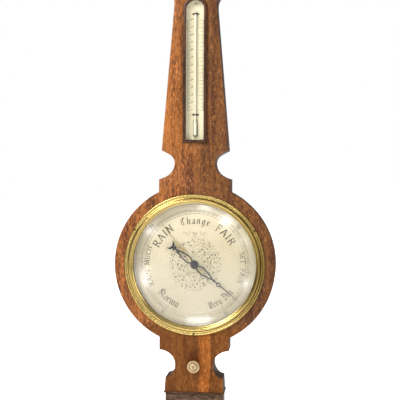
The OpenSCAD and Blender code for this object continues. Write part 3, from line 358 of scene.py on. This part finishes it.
materials = {
    "trunk_wood": plain_wood("trunk_wood", "Z", srgb(30, 18, 10), srgb(68, 40, 22), roughness=0.6, coat=0.0),
    "front_wood": front_wood(),
    "moulding_wood": plain_wood("moulding_wood", "X", srgb(44, 25, 13), srgb(80, 50, 28)),
    "plinth_wood": plain_wood("plinth_wood", "X", srgb(50, 35, 24), srgb(88, 66, 48), roughness=0.55),
    "back_wood": plain_wood("back_wood", "Z", srgb(140, 104, 66), srgb(196, 160, 112),
                            roughness=0.7, coat=0.0),
    "bezel_brass": metal("bezel_brass", srgb(160, 139, 84), srgb(84, 65, 28), 0.18, 0.25, turned=True),
    "movement_brass": metal("movement_brass", srgb(206, 172, 96), srgb(140, 104, 48), 0.28),
    "set_hand_brass": metal("set_hand_brass", srgb(176, 158, 104), srgb(96, 84, 48), 0.34),
    "screw_brass": metal("screw_brass", srgb(150, 124, 66), srgb(70, 54, 26), 0.32),
    "steel": metal("steel", srgb(176, 178, 180), srgb(104, 100, 96), 0.26),
    "capsule_metal": metal("capsule_metal", srgb(196, 194, 186), srgb(150, 140, 120), 0.3),
    "blued_steel": metal("blued_steel", srgb(20, 21, 20), srgb(12, 11, 10), 0.4),
    "silvered_dial": silvered("silvered_dial", (0.48, 0.42, 0.3), (0.43, 0.37, 0.24)),
    "clear_glass": glass("clear_glass", (0.995, 0.995, 0.99), (0.7, 0.74, 0.68)),
    "mercury": quicksilver(),
    "bone": bone(),
    "clip_wire": metal("clip_wire", srgb(66, 64, 48), srgb(48, 46, 32), 0.42),
    "cord": twisted_cord(),
}
# Single nodes whose look differs from their material slot's
LOOKS = {
    "thermometer_bead": plain_wood("bead_wood", "Z", srgb(26, 13, 7), srgb(62, 36, 20),
                                   roughness=0.42, coat=0.1),
    # The thermometer scale's silvering is paler than the dial's: painted light against the shade of its
    # recess.
    "thermometer_scale": silvered("scale_silver", (0.64, 0.58, 0.41), (0.58, 0.52, 0.34)),
    "thermometer_tube": milky_glass(),
    "scale_screws": metal("dull_brass", srgb(120, 98, 56), srgb(64, 48, 24), 0.5),
    "bezel_screws": metal("dark_brass", srgb(74, 58, 30), srgb(40, 30, 16), 0.5),
}


# ---------------------------------------------------------------- carried-over CAD pieces

def smooth_by_angle(angle):
    """A geometry node group that shades smooth except across edges sharper than angle."""
    group = bpy.data.node_groups.new("smooth_by_angle", "GeometryNodeTree")
    for way in ("INPUT", "OUTPUT"):
        group.interface.new_socket("Geometry", in_out=way, socket_type="NodeSocketGeometry")
    start = group.nodes.new("NodeGroupInput")
    end = group.nodes.new("NodeGroupOutput")
    faces = group.nodes.new("GeometryNodeSetShadeSmooth")
    edges = group.nodes.new("GeometryNodeSetShadeSmooth")
    edges.domain = "EDGE"
    edges.inputs["Shade Smooth"].default_value = False
    bend = group.nodes.new("GeometryNodeInputMeshEdgeAngle")
    sharp = group.nodes.new("FunctionNodeCompare")
    sharp.inputs[1].default_value = angle
    link = group.links.new
    link(start.outputs[0], faces.inputs["Geometry"])
    link(faces.outputs[0], edges.inputs["Geometry"])
    link(bend.outputs["Unsigned Angle"], sharp.inputs[0])
    link(sharp.outputs[0], edges.inputs["Selection"])
    link(edges.outputs[0], end.inputs[0])
    return group


SMOOTH = smooth_by_angle(math.radians(34))
# Widths, in mm, of the worn arrises
ARRIS = {"case_body": 0.5, "front_veneer": 0.8, "base_bead": 0.3, "base_plinth": 0.7, "plinth_moulding": 0.5,
         "cornice": 0.5, "pediment_boards": 0.5, "pediment_mouldings": 0.5, "finial_block": 0.6,
         "thermometer_bead": 0.4, "indicator_hand": 0.16, "set_hand": 0.12, "hanger_plate": 0.2,
         "rear_cover": 0.3, "channel_cover": 0.3}


def dress(name, material):
    """Gives a CAD node its material, rounds its sharp arrises a little and shades its curves smooth."""
    node = nodes[name]
    node.data.materials.clear()
    node.data.materials.append(material)
    with bpy.context.temp_override(object=node, active_object=node):
        bpy.ops.mesh.customdata_custom_splitnormals_clear()
    weld = node.modifiers.new("weld", "WELD")
    weld.merge_threshold = 0.001 * MM
    if name in ARRIS:
        flat = node.modifiers.new("flat", "DECIMATE")
        flat.decimate_type = "DISSOLVE"
        flat.angle_limit = math.radians(0.3)
        arris = node.modifiers.new("arris", "BEVEL")
        arris.width = ARRIS[name] * MM
        arris.segments = 2
        arris.limit_method = "ANGLE"
        arris.angle_limit = math.radians(40)
    node.modifiers.new("smooth", "NODES").node_group = SMOOTH


for part in frame["record"]["subparts"]:
    dress(part["node"], materials[part["material_slot"]])
for name, look in LOOKS.items():
    nodes[name].data.materials[0] = look


# ---------------------------------------------------------------- turned glass dome

def turned_mesh(name, profile, sides):
    """A closed mesh turned round the dial axis from (radius, distance out of the wall) points, in mm."""
    verts, faces = [], []
    for i in range(sides):
        a = 2 * math.pi * i / sides
        verts += [(r * math.sin(a) * MM, -out * MM, r * math.cos(a) * MM) for r, out in profile]
    count = len(profile)
    for i in range(sides):
        for j in range(count):
            k = (j + 1) % count
            here, there = i * count, (i + 1) % sides * count
            faces.append((here + j, here + k, there + k, there + j))
    mesh = bpy.data.meshes.new(name)
    mesh.from_pydata(verts, [], faces)
    mesh.validate()
    mesh.update()
    return mesh


def place(name, mesh, material, slot):
    """Adds a mesh as a piece that rides on the case."""
    piece = bpy.data.objects.new(name, mesh)
    bpy.context.scene.collection.objects.link(piece)
    piece.data.materials.append(material)
    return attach(piece, "case")


glass_low, glass_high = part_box("dial_glass")
GLASS_R = glass_high.x / MM
GLASS_BACK = -glass_high.y / MM
GLASS_TOP = -glass_low.y / MM
GLASS_T = 2.0
RIM_W = 3.3
RIM_TOP = GLASS_BACK + GLASS_T
DOME_R = GLASS_R - RIM_W
DOME_POWER = 2.6
DOME_RISE = GLASS_TOP - RIM_TOP


def dome(radius):
    """Height of the dome's outer skin above its rim, in mm."""
    return DOME_RISE * (1 - (radius / DOME_R) ** DOME_POWER)


def dome_slope(radius):
    """How steeply the outer skin falls there."""
    return DOME_RISE * DOME_POWER / DOME_R * (radius / DOME_R) ** (DOME_POWER - 1)


def dome_profile():
    """The section, from the flat rim over the outer skin and back along the inner one."""
    steps = 48
    centre = 0.01
    radii = [DOME_R * (1 - i / steps) + centre for i in range(steps)] + [centre]
    outer = [(r, RIM_TOP + dome(min(r, DOME_R))) for r in radii]
    inner = [(r, out - GLASS_T) for r, out in reversed(outer)]
    return [(GLASS_R, GLASS_BACK), (GLASS_R, RIM_TOP)] + outer + inner


dome_mesh = turned_mesh("dome_glass", dome_profile(), 160)
dome_glass = place("dome_glass", dome_mesh, materials["clear_glass"], "clear_glass")
dome_glass.modifiers.new("smooth", "NODES").node_group = SMOOTH
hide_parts("dial_glass")


# ---------------------------------------------------------------- engraving

class Engraving:
    """Closed thin prisms on a flat face that looks along -Y, collected into one mesh."""

    PROUD = 0.03
    SUNK = 0.1

    def __init__(self, face_y):
        self.front = face_y - self.PROUD * MM
        self.back = face_y + self.SUNK * MM
        self.verts = []
        self.faces = []

    def prism(self, corners):
        """corners run anticlockwise as seen from the front, as (x, z) in mm."""
        start, count = len(self.verts), len(corners)
        for y in (self.front, self.back):
            self.verts += [(x * MM, y, z * MM) for x, z in corners]
        self.faces.append(tuple(range(start, start + count)))
        self.faces.append(tuple(range(start + 2 * count - 1, start + count - 1, -1)))
        for i in range(count):
            j = (i + 1) % count
            self.faces.append((start + j, start + i, start + count + i, start + count + j))

    def ribbon(self, points, width, closed=False):
        """A line of even width through points."""
        count = len(points)
        left, right = [], []
        for i, (x, z) in enumerate(points):
            before = points[i - 1] if i or closed else points[0]
            after = points[(i + 1) % count] if i < count - 1 or closed else points[-1]
            way = Vector((after[0] - before[0], after[1] - before[1])).normalized() * width / 2
            left.append((x - way.y, z + way.x))
            right.append((x + way.y, z - way.x))
        last = count if closed else count - 1
        start = len(self.verts)
        for y in (self.front, self.back):
            self.verts += [(x * MM, y, z * MM) for x, z in left]
            self.verts += [(x * MM, y, z * MM) for x, z in right]
        loops = [start, start + count, start + 3 * count, start + 2 * count]
        for a, b in zip(loops, loops[1:] + loops[:1]):
            for i in range(last):
                j = (i + 1) % count
                self.faces.append((a + i, b + i, b + j, a + j))
        if not closed:
            self.faces.append(tuple(reversed(loops)))
            self.faces.append(tuple(loop + count - 1 for loop in loops))

    def pen(self, points, nib, spot, scale):
        """Strokes drawn with a broad nib; spot maps letter units to the face, scale is mm per letter unit."""
        width, thin, tilt = nib
        along_nib = Vector((math.cos(tilt), math.sin(tilt))) * width / 2
        across = Vector((-math.sin(tilt), math.cos(tilt))) * thin / 2
        corners = [along_nib + across, along_nib - across, -along_nib - across, -along_nib + across]
        for a, b in zip(points, points[1:]):
            cloud = [Vector(p) + c for p in (a, b) for c in corners]
            hull = [cloud[i] for i in convex_hull_2d(cloud)]
            area = sum(p.x * q.y - q.x * p.y for p, q in zip(hull, hull[1:] + hull[:1]))
            self.prism([spot(p.x * scale, p.y * scale) for p in (hull if area > 0 else hull[::-1])])

    def build(self, name, material, slot):
        mesh = bpy.data.meshes.new(name)
        mesh.from_pydata(self.verts, [], self.faces)
        mesh.update()
        return place(name, mesh, material, slot)


def polar(radius, degrees):
    """A point on the dial, clockwise from the top, in mm."""
    a = math.radians(degrees)
    return radius * math.sin(a), radius * math.cos(a)


def circle_points(radius, count=180):
    """Points round the dial."""
    return [polar(radius, 360 * i / count) for i in range(count)]


def bow(cx, cy, rx, ry, start, end, count=12):
    """Part of an ellipse, anticlockwise from the right when end is above start."""
    turns = [math.radians(start + (end - start) * i / count) for i in range(count + 1)]
    return [(cx + rx * math.cos(a), cy + ry * math.sin(a)) for a in turns]


def foot(x, y):
    """A short serif."""
    return [(x - 0.06, y), (x + 0.06, y)]


def stem(x, low=0.0, high=1.0):
    """An upright stroke."""
    return [(x, low), (x, high)]


X_HEIGHT = 0.62


def minim(x):
    """A broken upright of a small gothic letter."""
    return [(x - 0.06, X_HEIGHT - 0.07), (x, X_HEIGHT), (x, 0.07), (x + 0.06, 0.0)]


# Each letter is (width, strokes), in units of the capital height
ROMAN = {
    "A": (0.8, [[(0.05, 0), (0.4, 1), (0.75, 0)], [(0.18, 0.33), (0.62, 0.33)],
                foot(0.05, 0), foot(0.75, 0)]),
    "C": (0.74, [bow(0.42, 0.5, 0.34, 0.48, 45, 315), stem(0.66, 0.72, 0.92)]),
    "E": (0.62, [stem(0.12), [(0.06, 1), (0.52, 1), (0.52, 0.86)], [(0.12, 0.52), (0.44, 0.52)],
                 [(0.06, 0), (0.54, 0), (0.54, 0.16)], stem(0.44, 0.44, 0.6)]),
    "F": (0.58, [stem(0.12), [(0.06, 1), (0.52, 1), (0.52, 0.84)], [(0.12, 0.52), (0.42, 0.52)],
                 stem(0.42, 0.44, 0.6), foot(0.12, 0)]),
    "H": (0.82, [stem(0.12), stem(0.68), [(0.12, 0.52), (0.68, 0.52)]]
          + [foot(x, y) for x in (0.12, 0.68) for y in (0, 1)]),
    "I": (0.34, [stem(0.17), foot(0.17, 0), foot(0.17, 1)]),
    "M": (1.0, [[(0.1, 0), (0.14, 1), (0.5, 0.06), (0.86, 1), (0.9, 0)], foot(0.1, 0), foot(0.9, 0),
                foot(0.1, 1), foot(0.9, 1)]),
    "N": (0.82, [stem(0.12), [(0.12, 1), (0.7, 0)], stem(0.7), foot(0.12, 0), foot(0.7, 1), foot(0.08, 1)]),
    "R": (0.76, [stem(0.12), [(0.06, 1), (0.38, 1)] + bow(0.38, 0.76, 0.22, 0.24, 90, -90) + [(0.12, 0.52)],
                 [(0.36, 0.52), (0.68, 0.02)], foot(0.12, 0), foot(0.7, 0)]),
    "S": (0.58, [bow(0.3, 0.75, 0.2, 0.23, 20, 250) + bow(0.3, 0.27, 0.22, 0.26, 70, -160)]),
    "T": (0.72, [stem(0.36), [(0.06, 0.84), (0.06, 1), (0.66, 1), (0.66, 0.84)], foot(0.36, 0)]),
    "U": (0.8, [[(0.12, 1)] + bow(0.39, 0.3, 0.27, 0.3, 180, 360) + [(0.66, 1)], foot(0.12, 1),
                foot(0.66, 1)]),
    "0": (0.6, [bow(0.3, 0.5, 0.2, 0.47, 0, 360, 20)]),
    "1": (0.42, [[(0.08, 0.8), (0.22, 1), (0.22, 0)], foot(0.22, 0)]),
    "2": (0.6, [bow(0.29, 0.72, 0.2, 0.26, 165, -35) + [(0.08, 0.03), (0.52, 0.03)]]),
    "3": (0.6, [bow(0.27, 0.75, 0.18, 0.23, 150, -80) + bow(0.27, 0.27, 0.22, 0.26, 80, -150)]),
    "4": (0.62, [[(0.42, 0), (0.42, 1), (0.06, 0.3), (0.56, 0.3)]]),
    "5": (0.6, [[(0.48, 1), (0.16, 1), (0.12, 0.58)] + bow(0.28, 0.32, 0.22, 0.3, 110, -150)]),
    "6": (0.6, [bow(0.3, 0.28, 0.2, 0.27, 0, 360, 18), [(0.1, 0.3), (0.16, 0.7), (0.44, 0.98)]]),
    "7": (0.58, [[(0.06, 0.88), (0.06, 1), (0.5, 1), (0.22, 0)]]),
    "8": (0.6, [bow(0.3, 0.76, 0.16, 0.22, 0, 360, 16), bow(0.3, 0.28, 0.2, 0.27, 0, 360, 18)]),
    "9": (0.6, [bow(0.3, 0.72, 0.2, 0.27, 0, 360, 18), [(0.5, 0.7), (0.44, 0.3), (0.16, 0.02)]]),
}
GOTHIC = {
    " ": (0.34, []),
    "C": (0.7, [[(0.6, 0.84), (0.4, 1), (0.14, 0.8), (0.12, 0.2), (0.36, 0), (0.62, 0.16)],
                stem(0.36, 0.14, 0.88)]),
    "D": (0.74, [[(0.06, 0.96), (0.4, 0.98), (0.62, 0.78), (0.62, 0.22), (0.36, 0), (0.08, 0.08)],
                 stem(0.22, 0.08, 0.9)]),
    "S": (0.62, [[(0.54, 0.84), (0.34, 1), (0.12, 0.82), (0.14, 0.6), (0.52, 0.42), (0.54, 0.18), (0.3, 0),
                  (0.06, 0.14)], stem(0.33, 0.2, 0.86)]),
    "V": (0.68, [[(0.06, 0.9), (0.14, 1), (0.14, 0.22), (0.34, 0), (0.56, 0.2), (0.56, 0.8), (0.46, 1)],
                 stem(0.34, 0.14, 0.84)]),
    "a": (0.48, [[(0.1, 0.54), (0.3, 0.62), (0.36, 0.54), (0.36, 0.07), (0.42, 0)],
                 [(0.36, 0.36), (0.1, 0.24), (0.1, 0.07), (0.22, 0), (0.36, 0.1)]]),
    "e": (0.44, [[(0.1, 0.28), (0.34, 0.42), (0.32, 0.55), (0.22, 0.62), (0.1, 0.5), (0.1, 0.1), (0.2, 0),
                  (0.36, 0.1)]]),
    "g": (0.5, [[(0.36, 0.56), (0.22, 0.62), (0.1, 0.5), (0.1, 0.14), (0.22, 0.02), (0.36, 0.12)],
                [(0.36, 0.62), (0.36, -0.16), (0.22, -0.28), (0.06, -0.2)]]),
    "h": (0.54, [[(0.04, 0.94), (0.1, 1), (0.1, 0.07), (0.16, 0)], minim(0.38), [(0.1, 0.48), (0.32, 0.6)]]),
    "m": (0.82, [minim(0.1), minim(0.38), minim(0.66), [(0.1, 0.48), (0.32, 0.6)],
                 [(0.38, 0.48), (0.6, 0.6)]]),
    "n": (0.54, [minim(0.1), minim(0.38), [(0.1, 0.48), (0.32, 0.6)]]),
    "o": (0.48, [[(0.1, 0.5), (0.1, 0.1), (0.24, 0), (0.38, 0.12), (0.38, 0.52), (0.24, 0.62),
                  (0.1, 0.5)]]),
    "r": (0.4, [minim(0.1), [(0.1, 0.48), (0.26, 0.62), (0.34, 0.55)]]),
    "t": (0.36, [[(0.12, 0.86), (0.12, 0.1), (0.2, 0), (0.32, 0.08)], [(0.02, 0.6), (0.28, 0.6)]]),
    "y": (0.5, [[(0.1, 0.62), (0.1, 0.12), (0.22, 0), (0.36, 0.12)],
                [(0.36, 0.62), (0.36, -0.06), (0.14, -0.28)]]),
}
ROMAN_NIB = (0.15, 0.04, math.radians(14))
GOTHIC_NIB = (0.13, 0.03, math.radians(40))


def word(engraving, text, face, nib, height, radius, centre, inward=False, gap=0.1):
    """Letters round the dial, tops outwards, or tops towards the middle when inward."""
    widths = [(face[c][0] + gap) * height for c in text]
    side = -1 if inward else 1
    turn = -sum(widths) / 2
    for letter, width in zip(text, widths):
        a = math.radians(centre + side * math.degrees((turn + (width - gap * height) / 2) / radius))
        right = Vector((math.cos(a), -math.sin(a))) * side
        up = Vector((math.sin(a), math.cos(a)))
        origin = up * radius - right * (width - gap * height) / 2
        up = up * side

        def spot(x, y, origin=origin, right=right, up=up):
            return tuple(origin + right * x + up * y)

        for path in face[letter][1]:
            engraving.pen(path, nib, spot, height)
        turn += width


dial_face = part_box("dial_plate")[0].y
INCH_TURN = 98.0
FIRST_INCH = 28
LAST_INCH = 31
SCALE_START = -INCH_TURN * 1.5
TICK_FROM, TICK_MIDDLE, TICK_TO = 83.8, 87.2, 89.8
NUMBER_R = 92.3
EDGE_R = 99.3


def inch_scale(e):
    """Rings and ticks of the pressure scale, a hundredth of an inch apart, with its numbers."""
    for radius, width in ((TICK_FROM, 0.45), (TICK_MIDDLE, 0.35), (TICK_TO, 0.45), (EDGE_R, 0.4)):
        e.ribbon(circle_points(radius), width, closed=True)
    for i in range((LAST_INCH - FIRST_INCH) * 100 + 1):
        turn = SCALE_START + INCH_TURN * i / 100
        if i % 100 == 0:
            ends, width = (TICK_FROM - 1.5, TICK_TO + 1.5), 0.6
        elif i % 10 == 0:
            ends, width = (TICK_FROM, TICK_TO + 0.8), 0.42
        elif i % 5 == 0:
            ends, width = (TICK_FROM, TICK_TO), 0.32
        else:
            ends, width = (TICK_MIDDLE, TICK_TO), 0.22
        e.ribbon([polar(ends[0], turn), polar(ends[1], turn)], width)
    for inch in range(FIRST_INCH, LAST_INCH + 1):
        turn = SCALE_START + INCH_TURN * (inch - FIRST_INCH)
        word(e, str(inch), ROMAN, ROMAN_NIB, 5.6, NUMBER_R, turn)
        if inch < LAST_INCH:
            word(e, "5", ROMAN, ROMAN_NIB, 3.4, NUMBER_R, turn + INCH_TURN / 2)


def weather_words(e):
    """Roman words, then gothic ones; the lower two read upright, with their tops towards the middle."""
    for text, height, radius, bearing, gap in (
            ("RAIN", 12, 66, -48, 0.18), ("FAIR", 12, 66, 47, 0.18), ("SET", 8, 76, 82, 0.14),
            ("FAIR", 8, 76, 104, 0.14), ("MUCH", 8, 76, -80, 0.14), ("RAIN", 8, 76, -107, 0.14)):
        word(e, text, ROMAN, ROMAN_NIB, height, radius, bearing, gap=gap)
    word(e, "Change", GOTHIC, GOTHIC_NIB, 12, 67, 1, gap=0.14)
    word(e, "Stormy", GOTHIC, GOTHIC_NIB, 12.5, 78, -143, inward=True, gap=0.06)
    word(e, "Very Dry", GOTHIC, GOTHIC_NIB, 11.5, 78, 143, inward=True, gap=0.04)


def comma(e, radius, turn, lean, length, width, bend=0.25):
    """A filled leaf stroke that starts at radius on the bearing turn, leans by lean and curls by bend."""
    a = math.radians(turn)
    b = math.radians(turn + lean)
    root = Vector((math.sin(a), math.cos(a))) * radius
    up = Vector((math.sin(b), math.cos(b))) * length
    right = Vector((math.cos(b), -math.sin(b))) * length
    curl = bend if lean > 0 else -bend
    steps = 6
    right_edge = []
    left_edge = []
    for i in range(steps + 1):
        t = i / steps
        half = width / length * 0.5 * math.sin(math.pi * (0.06 + 0.88 * t)) ** 0.8
        middle = curl * t * t
        right_edge.append(tuple(root + up * t + right * (middle + half)))
        left_edge.append(tuple(root + up * t + right * (middle - half)))
    e.prism(right_edge + left_edge[::-1])


# Rings of leaves, as (radius, count, length, width) in mm
WREATH = ((15.5, 10, 4.2, 1.3), (20.5, 13, 4.6, 1.5), (26, 16, 4.8, 1.6), (31.5, 20, 4.6, 1.5),
          (37, 24, 4.2, 1.5), (41.5, 28, 3.4, 1.3))
WREATH_FROM, WREATH_TO = 14, 43
CURLS = 170
STEMS = 16


def wreath(e):
    """The floral wreath round the middle: small curled leaves between fine stems, worn away in places."""
    chance = random.Random(7)
    for ring, (radius, count, length, width) in enumerate(WREATH):
        for i in range(count):
            turn = 360 * (i + 0.5 * (ring % 2)) / count + chance.uniform(-4, 4)
            worn = 0.1 + 0.28 * (1 + math.cos(math.radians(turn + 60))) / 2
            lean = chance.choice((-1, 1)) * chance.uniform(25, 75)
            size = chance.uniform(0.8, 1.15)
            if chance.random() > worn:
                comma(e, radius + chance.uniform(-1, 1), turn, lean, length * size, width * size)
                comma(e, radius + chance.uniform(-1, 1), turn + 5, -0.6 * lean, 0.7 * length * size,
                      0.7 * width)
    for _ in range(CURLS):
        radius = chance.uniform(WREATH_FROM, WREATH_TO)
        lean = chance.choice((-1, 1)) * chance.uniform(20, 110)
        comma(e, radius, chance.uniform(0, 360), lean, chance.uniform(1.6, 2.8), 0.55, bend=0.5)
    for i in range(STEMS):
        turn = 360 / STEMS * i + 6
        side = 1 if i % 2 else -1
        stem_line = [polar(16 + 3.1 * k, turn + side * 9 * math.sin(0.62 * k)) for k in range(9)]
        e.ribbon(stem_line, 0.3)
    for radius in (13.4, 14.2):
        e.ribbon(circle_points(radius, 72), 0.25, closed=True)


BOWL_LINES = 4
BOWL_HALF = 5.2
BOWL_TOP = 53.5
SCROLL_X, SCROLL_Z = 12.5, 51.5


def bowl_flourish(e):
    """A small bowl between two open scrolls, under the top word."""
    across = [-1 + 0.2 * i for i in range(11)]
    for k in range(BOWL_LINES):
        half = BOWL_HALF - 1.1 * k
        edge = BOWL_TOP - 1.6 * k
        e.ribbon([(x * half, edge - 1.6 * (1 - x * x)) for x in across], 0.45)
    for side in (-1, 1):
        turns = [(k, 2.2 + 0.42 * k) for k in range(15)]
        spiral = [(side * (SCROLL_X + (4.2 - 0.24 * k) * math.cos(a)),
                   SCROLL_Z + (4.6 - 0.26 * k) * math.sin(a)) for k, a in turns]
        e.ribbon(spiral, 0.45)
        e.ribbon([(side * (15.5 + 0.6 * k), 48 + 5.2 * math.sin(0.42 * k)) for k in range(8)], 0.35)
    e.ribbon([(-6.5, 45.8), (0, 44.6), (6.5, 45.8)], 0.35)


ink = wax()


def engrave(name, face_y, *drawings):
    """Cuts the drawings into one face as one piece."""
    e = Engraving(face_y)
    for draw in drawings:
        draw(e)
    e.build(name, ink, "silvered_dial")


engrave("dial_scale_lines", dial_face, inch_scale, bowl_flourish)
engrave("dial_lettering", dial_face, weather_words)
engrave("dial_wreath", dial_face, wreath)


# ---------------------------------------------------------------- thermometer marks

DEGREES = 120
MARKS_HALF = 13.4
NUMBER_X = 8 - MARKS_HALF
DIGIT_H = 2.7
DIGIT_GAP = 0.1
DIGIT_LIFT = 0.7
DIGIT_NIB = (0.16, 0.06, ROMAN_NIB[2])
clips_low, clips_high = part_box("tube_clips")
MARKS_FROM = clips_low.z / MM + 9
MARKS_TO = clips_high.z / MM - 12


def degree_number(e, degree, z):
    """The number over the line at z, centred on NUMBER_X."""
    text = str(degree)
    widths = [(ROMAN[c][0] + DIGIT_GAP) * DIGIT_H for c in text]
    x = NUMBER_X - sum(widths) / 2
    for digit, width in zip(text, widths):
        def spot(u, v, x=x):
            return x + u, z + v + DIGIT_LIFT

        for path in ROMAN[digit][1]:
            e.pen(path, DIGIT_NIB, spot, DIGIT_H)
        x += width


def degree_lines(e):
    """Degree lines on both sides of the tube, longer every five and ten."""
    for degree in range(DEGREES + 1):
        z = MARKS_FROM + (MARKS_TO - MARKS_FROM) * degree / DEGREES
        length, width = 2.6, 0.22
        if degree % 10 == 0:
            length, width = 7.4, 0.46
            degree_number(e, degree, z)
        elif degree % 5 == 0:
            length, width = 5.6, 0.4
        for side in (-1, 1):
            e.ribbon([(side * MARKS_HALF, z), (side * (MARKS_HALF - length), z)], width)
    for side in (-1, 1):
        e.ribbon([(side * MARKS_HALF, MARKS_FROM), (side * MARKS_HALF, MARKS_TO)], 0.26)


engrave("thermometer_marks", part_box("thermometer_scale")[0].y, degree_lines)


# ---------------------------------------------------------------- floor, light, camera

def floor():
    """A plain pale floor just under the base, lit a little by itself so that it stays pale."""
    g = Graph("floor")
    colour = g.mix(g.noise((3, 3, 3), detail=2), (0.86, 0.86, 0.86), (0.9, 0.9, 0.9))
    matte = g.principled(colour, roughness=0.9)
    lit = g.add("ShaderNodeEmission", {"Color": (1.0, 1.0, 1.0, 1.0), "Strength": 0.7})
    both = g.add("ShaderNodeAddShader", {0: matte, 1: lit.outputs[0]})
    half, top = 20.0, cad_box[0].z - 0.4 * MM
    mesh = bpy.data.meshes.new("floor")
    corners = [(-half, -half, top), (half, -half, top), (half, half, top), (-half, half, top)]
    mesh.from_pydata(corners, [], [(0, 1, 2, 3)])
    plane = bpy.data.objects.new("floor", mesh)
    bpy.context.scene.collection.objects.link(plane)
    plane.data.materials.append(g.finish(both.outputs[0]))


def world(seen, left, right, above):
    """Plain white for the camera; for lighting and reflections it dims to the right and brightens upwards."""
    scene_world = bpy.data.worlds.new("studio")
    bpy.context.scene.world = scene_world
    scene_world.use_nodes = True
    tree = scene_world.node_tree
    background = tree.nodes["Background"]
    ray = tree.nodes.new("ShaderNodeLightPath")
    split = tree.nodes.new("ShaderNodeSeparateXYZ")
    tree.links.new(tree.nodes.new("ShaderNodeTexCoord").outputs["Generated"], split.inputs[0])
    across = tree.nodes.new("ShaderNodeMapRange")
    for socket, value in (("From Min", -1.0), ("From Max", 1.0), ("To Min", left), ("To Max", right)):
        across.inputs[socket].default_value = value
    tree.links.new(split.outputs["X"], across.inputs["Value"])
    up = tree.nodes.new("ShaderNodeMath")
    up.operation = "MULTIPLY_ADD"
    up.inputs[1].default_value = above
    tree.links.new(split.outputs["Z"], up.inputs[0])
    tree.links.new(across.outputs[0], up.inputs[2])
    level = tree.nodes.new("ShaderNodeMix")
    level.inputs["B"].default_value = seen
    tree.links.new(ray.outputs["Is Camera Ray"], level.inputs["Factor"])
    tree.links.new(up.outputs[0], level.inputs["A"])
    background.inputs["Color"].default_value = (1.0, 1.0, 1.0, 1.0)
    tree.links.new(level.outputs[0], background.inputs["Strength"])


def area_light(name, location, target, size, power):
    """A rectangular lamp of so many watts that faces the target."""
    data = bpy.data.lights.new(name, "AREA")
    data.shape = "RECTANGLE"
    data.size, data.size_y = size
    data.energy = power
    lamp = bpy.data.objects.new(name, data)
    lamp.location = location
    lamp.rotation_euler = (Vector(target) - Vector(location)).to_track_quat("-Z", "Y").to_euler()
    bpy.context.scene.collection.objects.link(lamp)
    return lamp


# The viewpoint; angles in degrees, the lens in mm
CAMERA_SPOT = Vector((0.1579, -1.3511, 0.1319))
CAMERA_YAW = 6.488
CAMERA_PITCH = -1.107
CAMERA_ROLL = 0.252
LENS = 72.4


def camera():
    """The photograph's viewpoint."""
    data = bpy.data.cameras.new("camera")
    data.lens = LENS
    data.sensor_width = 36.0
    eye = bpy.data.objects.new("camera", data)
    turn = (Matrix.Rotation(math.radians(CAMERA_YAW), 4, "Z")
            @ Matrix.Rotation(math.radians(90 + CAMERA_PITCH), 4, "X")
            @ Matrix.Rotation(math.radians(CAMERA_ROLL), 4, "Z"))
    eye.matrix_world = Matrix.Translation(CAMERA_SPOT) @ turn
    bpy.context.scene.collection.objects.link(eye)
    bpy.context.scene.camera = eye


def link_light(lamp, pieces, state):
    """INCLUDE: the lamp shines on the pieces only. EXCLUDE: it shines on everything else."""
    receivers = bpy.data.collections.new(lamp.name + "_receivers")
    lamp.light_linking.receiver_collection = receivers
    for i, piece in enumerate(pieces):
        receivers.objects.link(piece)
        receivers.collection_objects[i].light_linking.link_state = state


def glare(name, bearing, radius, size, radiance, distance=1.35):
    """A small softbox that the camera sees mirrored in the dome at that bearing and radius (mm)."""
    x, z = polar(radius, bearing)
    point = Vector((x, -(RIM_TOP + dome(radius)), z)) * MM
    tilt = dome_slope(radius)
    outward = Vector((tilt * math.sin(math.radians(bearing)), -1.0, tilt * math.cos(math.radians(bearing))))
    outward.normalize()
    view = (CAMERA_SPOT - point).normalized()
    mirrored = 2 * view.dot(outward) * outward - view
    power = radiance * math.pi * size[0] * size[1]
    lamp = area_light(name, point + mirrored * distance, point, size, power)
    lamp.visible_camera = False
    lamp.visible_diffuse = False
    link_light(lamp, (dome_glass, nodes["bezel"]), "INCLUDE")


floor()
world(seen=1.0, left=0.75, right=0.3, above=0.5)
for name, spot, power in (("key", (-1.1, -1.3, 1.35), 70), ("fill", (1.5, -1.2, 0.5), 16)):
    link_light(area_light(name, spot, (0, 0, 0.1), (0.9, 0.9), power), (dome_glass,), "EXCLUDE")
glare("lamp_ring", 36, 90, (0.1, 0.1), 38)
glare("lamp_top", 11, 97, (0.15, 0.05), 36)
glare("lamp_upper_left", -52, 89, (0.16, 0.06), 24)
glare("lamp_left", -106, 84, (0.05, 0.09), 13, distance=0.5)
glare("lamp_bottom", 174, 91, (0.09, 0.03), 12, distance=0.27)
glare("lamp_right", 109, 90, (0.02, 0.035), 36, distance=0.5)
glare("lamp_upper_right", 64, 91, (0.14, 0.05), 14)
camera()
bpy.context.scene.view_settings.view_transform = "Standard"
